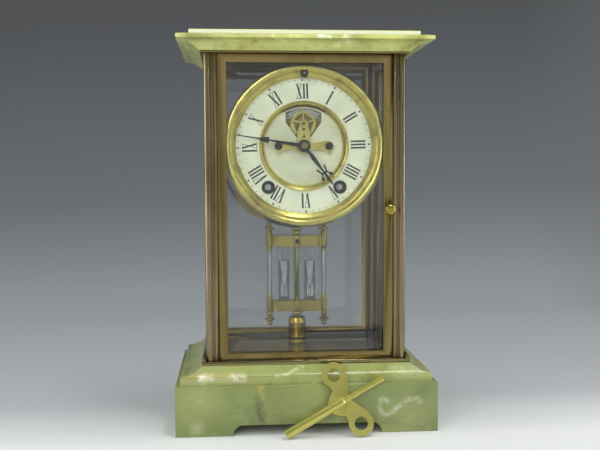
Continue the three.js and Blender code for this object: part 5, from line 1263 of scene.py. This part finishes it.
class CLOCK_OT_build_pendulum(ClockOperator, Operator):
    """Turn the pendulum's side rods, tubes, mercury and rating nut"""

    bl_idname = "clock.build_pendulum"
    bl_label = "Mercury Pendulum"

    # Plan of a cross bar in millimetres: half its depth at the tubes, its hollow, half its depth at its
    # ends, and how far out the tubes' part and the whole bar reach
    deep = 5.0
    hollow = 0.7
    narrow = 2.2
    shoulder = 16.2
    reach = 21.4
    bar_steps = 60
    # Radii of the hub and of the collar's bore, and of a side rod's discs, shaft and sleeves
    hub = 3.5
    rod_bore = 2.45
    disc = 4.2
    rod = 1.95
    sleeve = 2.8
    # How far a side rod hangs below the lower bar
    drop = 12.4
    # Radii of a glass tube and of its bore, and how far the mercury wets into the glass
    tube = 5.0
    bore = 3.3
    wet = 0.03

    def execute(self, context):
        pendulum = context.scene.clock_pendulum
        lower_low, lower_high = corners("pendulum_lower_bar")
        upper_low = corners("pendulum_upper_bar")[0].z
        height = lower_high.z - lower_low.z
        spans = {"lower": (lower_low.z, lower_high.z), "upper": (upper_low, upper_low + height)}
        for end, (bottom, top) in spans.items():
            self.cut_bar(end, bottom, top)
        self.turn_collar(pendulum, spans["upper"][1])
        soften("pendulum_rod", "rod", 0.15, 45.0)
        soften("rating_nut", "gilt", 0.1)
        for hand in ("left", "right"):
            self.turn_side_rod(hand, pendulum, spans)
            self.blow_tube(hand, pendulum)
        self.clamp_screw(pendulum, sum(spans["upper"]) / 2)
        return {"FINISHED"}

    def half_depth(self, x):
        """Half of a bar's depth: a little hollow between the tubes and the hub, and drawn in at its ends."""
        x = abs(x)
        if x < self.shoulder:
            return self.deep - self.hollow * math.sin(math.pi * x / self.shoulder) ** 2
        t = (x - self.shoulder) / (self.reach - self.shoulder)
        return self.narrow + (self.deep - self.narrow) * (1 + math.cos(math.pi * t)) / 2

    def cut_bar(self, end, bottom, top):
        """A cross bar, planed to its plan, with a round hub at its middle."""
        steps = self.bar_steps
        xs = [self.reach * (2 * i / steps - 1) for i in range(steps + 1)]
        plan = [(x, -self.half_depth(x)) for x in xs] + [(x, self.half_depth(x)) for x in reversed(xs)]
        maker = bmesh.new()
        sheets = [
            [maker.verts.new((PENDULUM.x + x, PENDULUM.y + y, z)) for x, y in plan] for z in (bottom, top)
        ]
        maker.faces.new(list(reversed(sheets[0])))
        maker.faces.new(sheets[1])
        for i in range(len(plan)):
            j = (i + 1) % len(plan)
            maker.faces.new([sheets[0][i], sheets[0][j], sheets[1][j], sheets[1][i]])
        node = "pendulum_" + end + "_bar"
        to_object("bar_" + end, maker, "bar", "pendulum", 30.0, (node,))
        hub = [
            (0.0, bottom - 0.5), (self.hub - 0.5, bottom - 0.5), (self.hub, bottom), (self.hub, top),
            (self.hub - 0.5, top + 0.4), (0.0, top + 0.4),
        ]
        centre = Vector((PENDULUM.x, PENDULUM.y - self.deep + self.hub / 2, 0.0))
        turned_piece("hub_" + end, hub, centre, "Z", "bar", "pendulum", sides=48)

    def turn_collar(self, pendulum, top):
        """The cup-shaped collar that clamps the upper bar on the rod."""
        bore = self.rod_bore
        profile = [
            (bore, top), (3.5, top), (3.4, top + 0.6), (2.9, top + 1.4), (2.75, top + 3.0), (3.1, top + 4.2),
            (3.9, top + 5.2), (4.2, top + 6.2), (4.0, top + 7.4), (bore, top + 7.6),
        ]
        turned_piece(
            "rod_collar", profile, Vector((PENDULUM.x, PENDULUM.y, 0.0)), "Z", "bar", "pendulum",
            sides=pendulum.sides, closed=True, ease=pendulum.easing,
        )

    def turn_side_rod(self, hand, pendulum, spans):
        """A gilt side rod with its turned finials, and the bright sheath of its shaft."""
        node = "pendulum_side_rod_" + hand
        spot = middle(node)
        wide, rod, sleeve = self.disc, self.rod, self.sleeve
        foot, lower = spans["lower"]
        crown, top = spans["upper"]
        base = foot - self.drop
        profile = [
            (0.0, base), (1.3, base + 0.15), (2.1, base + 1.0), (2.3, base + 1.9), (1.9, base + 2.9),
            (1.5, base + 3.3), (1.5, base + 3.8), (2.9, base + 4.1), (wide, base + 4.8), (wide, base + 5.9),
            (2.9, base + 6.6), (1.9, base + 7.2), (2.0, base + 7.8), (2.5, base + 8.8), (2.6, base + 10.2),
            (2.3, foot - 0.6), (sleeve, foot), (sleeve, lower), (2.2, lower + 0.7), (2.3, lower + 2.2),
            (1.9, lower + 3.0), (2.2, lower + 3.9), (rod, lower + 5.0), (rod, crown - 3.4),
            (2.2, crown - 2.8), (2.0, crown - 1.6), (2.4, crown - 0.9), (sleeve, crown), (sleeve, top),
            (2.4, top + 0.7), (2.6, top + 2.2), (2.3, top + 3.4), (1.9, top + 4.2), (2.9, top + 4.9),
            (wide, top + 5.6), (wide, top + 6.7), (2.9, top + 7.3), (1.5, top + 7.8), (1.5, top + 8.2),
            (2.1, top + 8.9), (2.3, top + 9.8), (1.9, top + 10.8), (1.1, top + 11.5), (0.0, top + 11.7),
        ]
        centre = Vector((spot.x, spot.y, 0.0))
        turned_piece(
            "side_rod_" + hand, profile, centre, "Z", "bar", "pendulum", (node,),
            sides=pendulum.sides, ease=pendulum.easing,
        )
        inner, outer, low, high = rod + 0.02, rod + 0.1, lower + 5.2, crown - 3.6
        sheath = [(inner, low), (outer, low), (outer, high), (inner, high)]
        maker = bmesh.new()
        lathe(maker, sheath, centre, "Z", pendulum.sides, True)
        to_object("bright_rod_" + hand, maker, "steel", "pendulum", 40.0)

    def blow_tube(self, hand, pendulum):
        """A glass tube with its round floor, and the mercury in it."""
        node = "mercury_tube_" + hand
        low, high = corners(node)
        spot = middle(node)
        outer = max((high.x - low.x) / 2, self.tube)
        profile = [
            (0.0, low.z), (outer - 0.6, low.z), (outer, low.z + 0.6), (outer, high.z - 0.3),
            (outer - 0.5, high.z), (self.bore + 0.3, high.z), (self.bore, high.z - 0.3),
            (self.bore, low.z + 2.2), (self.bore - 1.2, low.z + 1.4), (0.0, low.z + 1.4),
        ]
        centre = Vector((spot.x, spot.y, 0.0))
        turned_piece(
            "glass_tube_" + hand, profile, centre, "Z", "glass", "pendulum", (node,),
            sides=pendulum.sides, ease=0.15,
        )
        low, high = corners("mercury_" + hand)
        radius = self.bore + self.wet
        column = [
            (0.0, low.z - 0.1), (radius - 1.4, low.z - 0.1), (radius, low.z + 0.9), (radius, high.z - 0.8),
            (radius - 0.6, high.z - 0.2), (0.0, high.z),
        ]
        turned_piece(
            "mercury_column_" + hand, column, centre, "Z", "mercury", "pendulum",
            ("mercury_" + hand,), sides=pendulum.sides, ease=0.4,
        )

    def clamp_screw(self, pendulum, height):
        """The dark screw on the front of the upper hub."""
        spot = (PENDULUM.x, PENDULUM.y - self.deep - self.hub / 2 - 0.2, height)
        inputs = {"Radius": pendulum.screw * MM, "Height": 1.2 * MM, "Slot": 0.6 * MM, "Facing": 1.0}
        grown("clamp_screw", [spot], screw_tree("blued"), inputs, "pendulum", "blued")


class CLOCK_OT_build_boss(ClockOperator, Operator):
    """Turn the domed boss under the pendulum"""

    bl_idname = "clock.build_boss"
    bl_label = "Floor Boss"

    # The boss's belly: how far in from its foot, in millimetres, at each share of its height
    belly = [(0.5, 0.3), (0.2, 0.55), (0.0, 0.68), (0.3, 0.8), (1.2, 0.92)]

    def execute(self, context):
        low, high = corners("floor_boss")
        spot = middle("floor_boss")
        outer = (high.x - low.x) / 2
        height = high.z - low.z
        profile = [(0.0, low.z), (outer, low.z), (outer, low.z + 1.2), (outer - 0.5, low.z + 1.6)]
        profile += [(outer - inset, low.z + height * rise) for inset, rise in self.belly]
        profile += [(outer - 2.6, high.z - 0.3), (outer - 3.4, high.z), (0.0, high.z)]
        turned_piece(
            "turned_boss", profile, Vector((spot.x, spot.y, 0.0)), "Z", "boss", "case",
            ("floor_boss",), ease=0.5,
        )
        return {"FINISHED"}


class CLOCK_OT_finish_key(ClockOperator, Operator):
    """Finish the double-ended winding key"""

    bl_idname = "clock.finish_key"
    bl_label = "Winding Key"

    def execute(self, context):
        soften("winding_key", "key", context.scene.clock_brass.edge, 20.0)
        return {"FINISHED"}


# The camera of the photograph, in millimetres and radians, about the middle of the base
CAMERA_PLACE = (-55.6, -717.6, 193.95)
CAMERA_YAW = 0.0774
CAMERA_PITCH = -0.0551
CAMERA_ROLL = -0.004


class CLOCK_OT_build_stage(ClockOperator, Operator):
    """Set the camera, the pale floor, the graded backdrop and the soft lights"""

    bl_idname = "clock.build_stage"
    bl_label = "Stage"

    # The sweep of paper in metres: half its width and its height, how far it comes forward and goes back, and
    # the radius and the steps of its bend
    reach = 3.0
    near_edge = 0.5
    far = 0.7
    bend = 0.2
    bend_steps = 12

    # Each lamp's place, width and height in metres, the setting of its power, and whether metals show it
    lamps = {
        "Key": ((-0.8, -1.5, 0.9), 1.2, 1.2, "key", False),
        "Fill": ((1.2, -1.3, 0.8), 1.2, 1.2, "fill", False),
        "Top": ((0.0, 0.1, 1.7), 1.5, 1.5, "fill", True),
        "Spark": ((0.18, -0.35, 1.05), 0.09, 0.3, "spark", True),
        "Left strip": ((-0.6, -0.06, 0.35), 0.14, 0.9, "strip", True),
        "Right strip": ((0.6, -0.06, 0.35), 0.14, 0.9, "strip", True),
    }

    def execute(self, context):
        stage = context.scene.clock_stage
        self.set_camera(context, stage)
        self.lay_sweep(stage)
        self.set_lamps(context, stage)
        self.paint_room(context, stage)
        context.scene.view_settings.view_transform = "Standard"
        return {"FINISHED"}

    def set_camera(self, context, stage):
        """Stands the camera where the photograph's stood."""
        data = bpy.data.cameras.new("Camera")
        data.lens = stage.focal
        data.sensor_width = 36.0
        data.clip_start = 0.01
        data.clip_end = 20.0
        camera = bpy.data.objects.new("Camera", data)
        context.scene.collection.objects.link(camera)
        ahead = Vector((
            math.sin(CAMERA_YAW) * math.cos(CAMERA_PITCH),
            math.cos(CAMERA_YAW) * math.cos(CAMERA_PITCH),
            math.sin(CAMERA_PITCH),
        ))
        right = Vector((math.cos(CAMERA_YAW), -math.sin(CAMERA_YAW), 0.0))
        up = right.cross(ahead)
        right, up = (
            right * math.cos(CAMERA_ROLL) + up * math.sin(CAMERA_ROLL),
            up * math.cos(CAMERA_ROLL) - right * math.sin(CAMERA_ROLL),
        )
        turn = Matrix((right, up, -ahead)).transposed().to_4x4()
        place = Vector(CAMERA_PLACE) + Vector((BASE_MIDDLE.x, BASE_MIDDLE.y, 0.0))
        camera.matrix_world = Matrix.Translation(place * MM) @ turn
        context.scene.camera = camera

    def paper(self, stage):
        """Matt paper whose colour paints the light's falloff: pale by the clock, slate up the backdrop, and
        painted shade far aside and in front.
        """
        made, tree, place = new_material("Sweep paper")
        across, ahead, up = add(tree, SPLIT, (place,)).outputs
        skew = add(tree, MATHS, (across, 0.05), operation="MULTIPLY")
        run = add(tree, MATHS, (add(tree, MATHS, (ahead, up), operation="ADD"), skew), operation="SUBTRACT")
        first, last = -0.2, 1.2
        # Painted falloff of the light: the tone steps from pale by the clock to slate up the backdrop.
        stops = [
            (-0.08, tuple(stage.floor)), (0.04, tuple(stage.low)), (0.26, "#9fa4a7"), (0.64, "#8b9093"),
            (0.86, "#6a6f72"), (1.16, tuple(stage.high)),
        ]
        tone = with_stops(
            add(tree, RAMP, (add(tree, RANGE, (run, first, last, 0.0, 1.0)),)),
            [((spot - first) / (last - first), value) for spot, value in stops],
        )
        # Painted shade: the tone darkens towards grey far to the sides and in front of the clock.
        aside = add(tree, RANGE, (add(tree, MATHS, (across,), operation="ABSOLUTE"), 0.42, 0.75, 0.0, 1.0))
        forward = add(tree, MATHS, (ahead, -1.0), operation="MULTIPLY")
        before = add(tree, RANGE, (forward, 0.18, 0.5, 0.0, 1.0))
        edge = add(tree, MATHS, (aside, before), operation="MAXIMUM")
        painted_falloff = add(tree, MATHS, (edge, 0.8), operation="MULTIPLY")
        tone = add(tree, MIX, (painted_falloff, tone, rgba("#6b6e70")), data_type="RGBA")

        # The backdrop shows its own tone to the eye, to glass and to metal. The floor takes light and shadow.
        rays = add(tree, "ShaderNodeLightPath").outputs
        seen = add(tree, MATHS, (rays["Is Camera Ray"], rays["Is Transmission Ray"]), operation="MAXIMUM")
        seen = add(tree, MATHS, (seen, rays["Is Glossy Ray"]), operation="MAXIMUM")
        rising = add(tree, RANGE, (run, -0.02, 0.25, 0.0, 1.0))
        front = add(tree, "ShaderNodeMixShader", (
            add(tree, MATHS, (seen, rising), operation="MULTIPLY"),
            add(tree, "ShaderNodeBsdfPrincipled", {"Base Color": tone, "Roughness": 0.8}),
            add(tree, "ShaderNodeEmission", {"Color": tone, "Strength": 1.0}),
        ))

        # From behind it is clear, so that it never hides the clock
        behind = add(tree, "ShaderNodeNewGeometry").outputs["Backfacing"]
        clear = add(tree, "ShaderNodeBsdfTransparent")
        return surfaced(made, add(tree, "ShaderNodeMixShader", (behind, front, clear)))

    def lay_sweep(self, stage):
        """Lays the paper: a pale floor that takes the clock's soft shadow and runs up behind it."""
        bend = self.bend
        profile = [(-self.near_edge, 0.0), (self.far - bend, 0.0)]
        for i in range(1, self.bend_steps + 1):
            angle = math.pi / 2 * i / self.bend_steps
            profile.append((self.far - bend + bend * math.sin(angle), bend - bend * math.cos(angle)))
        profile.append((self.far, self.reach))
        mesh = bpy.data.meshes.new("sweep")
        points = [(side * self.reach, y, z) for y, z in profile for side in (-1, 1)]
        faces = [(2 * i, 2 * i + 1, 2 * i + 3, 2 * i + 2) for i in range(len(profile) - 1)]
        mesh.from_pydata(points, [], faces)
        mesh.shade_smooth()
        mesh.materials.append(self.paper(stage))
        sweep = bpy.data.objects.new("sweep", mesh)
        bpy.context.scene.collection.objects.link(sweep)

    def set_lamps(self, context, stage):
        """Hangs the soft lamps. No lamp shows itself, and no strip is seen through the panes."""
        for name, (place, wide, high, setting, mirrored) in self.lamps.items():
            data = bpy.data.lights.new(name, "AREA")
            data.shape = "RECTANGLE"
            data.size = wide
            data.size_y = high
            data.energy = getattr(stage, setting)
            lamp = bpy.data.objects.new(name, data)
            lamp.visible_camera = False
            lamp.visible_glossy = mirrored
            lamp.visible_transmission = setting != "strip"
            context.scene.collection.objects.link(lamp)
            lamp.location = place
            aim = Vector((0.0, 0.0, place[2] if setting == "strip" else 0.15))
            lamp.rotation_euler = (aim - Vector(place)).to_track_quat("-Z", "Y").to_euler()

    def paint_room(self, context, stage):
        """A bright room for the light and the metals, behind a slate wall for the eye."""
        world = bpy.data.worlds.new("Studio")
        context.scene.world = world
        world.use_nodes = True
        tree = world.node_tree
        tree.nodes.clear()
        direction = add(tree, "ShaderNodeTexCoord").outputs["Generated"]
        height = add(tree, RANGE, (add(tree, SPLIT, (direction,)).outputs["Z"], -0.6, 1.0, 0.0, 1.0))
        sky = with_stops(add(tree, RAMP, (height,)), [
            (0.0, "#c2c4c4"), (0.15, "#eaecec"), (0.38, "#e6e8e8"), (0.5, "#c2c4c4"),
            (0.65, "#989a9a"), (1.0, "#929494"),
        ])
        light = add(tree, "ShaderNodeBackground", {"Color": sky, "Strength": stage.surround})
        wall = add(tree, "ShaderNodeBackground", {"Color": rgba("#6c7174")})

        # The wall is seen straight, or straight through glass, and never in a mirror
        rays = add(tree, "ShaderNodeLightPath").outputs
        straight = add(tree, RANGE, (rays["Glossy Depth"], 0.25, 0.75, 1.0, 0.0))
        through = add(tree, MATHS, (rays["Is Transmission Ray"], straight), operation="MULTIPLY")
        seen = add(tree, MATHS, (rays["Is Camera Ray"], through), operation="MAXIMUM")
        add(tree, "ShaderNodeOutputWorld", {"Surface": add(tree, "ShaderNodeMixShader", (seen, light, wall))})


OPERATORS = [
    CLOCK_OT_finish_onyx,
    CLOCK_OT_finish_case,
    CLOCK_OT_finish_glass,
    CLOCK_OT_build_dial_rings,
    CLOCK_OT_draw_numerals,
    CLOCK_OT_draw_minute_track,
    CLOCK_OT_finish_movement,
    CLOCK_OT_set_screws,
    CLOCK_OT_coil_gong,
    CLOCK_OT_build_pendulum,
    CLOCK_OT_build_boss,
    CLOCK_OT_finish_key,
    CLOCK_OT_build_stage,
]


class CLOCK_PT_main(Panel):
    """Lists the steps that finish the clock"""

    bl_idname = "CLOCK_PT_main"
    bl_label = "Clock"
    bl_space_type = "VIEW_3D"
    bl_region_type = "UI"
    bl_category = "Clock"

    def draw(self, context):
        for operator in OPERATORS:
            self.layout.operator(operator.bl_idname)
        for name, settings in SETTINGS.items():
            box = self.layout.box()
            for prop in settings.__annotations__:
                box.prop(getattr(context.scene, name), prop)


def register():
    for settings in SETTINGS.values():
        bpy.utils.register_class(settings)
    for operator in OPERATORS:
        bpy.utils.register_class(operator)
    bpy.utils.register_class(CLOCK_PT_main)
    for name, settings in SETTINGS.items():
        setattr(bpy.types.Scene, name, PointerProperty(type=settings))


def unregister():
    for name in SETTINGS:
        delattr(bpy.types.Scene, name)
    bpy.utils.unregister_class(CLOCK_PT_main)
    for operator in reversed(OPERATORS):
        bpy.utils.unregister_class(operator)
    for settings in reversed(list(SETTINGS.values())):
        bpy.utils.unregister_class(settings)


def main():
    """Registers the clock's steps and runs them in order."""
    register()
    make_materials(bpy.context.scene)
    for operator in OPERATORS:
        group, name = operator.bl_idname.split(".")
        getattr(getattr(bpy.ops, group), name)()


if __name__ == "__main__":
    main()
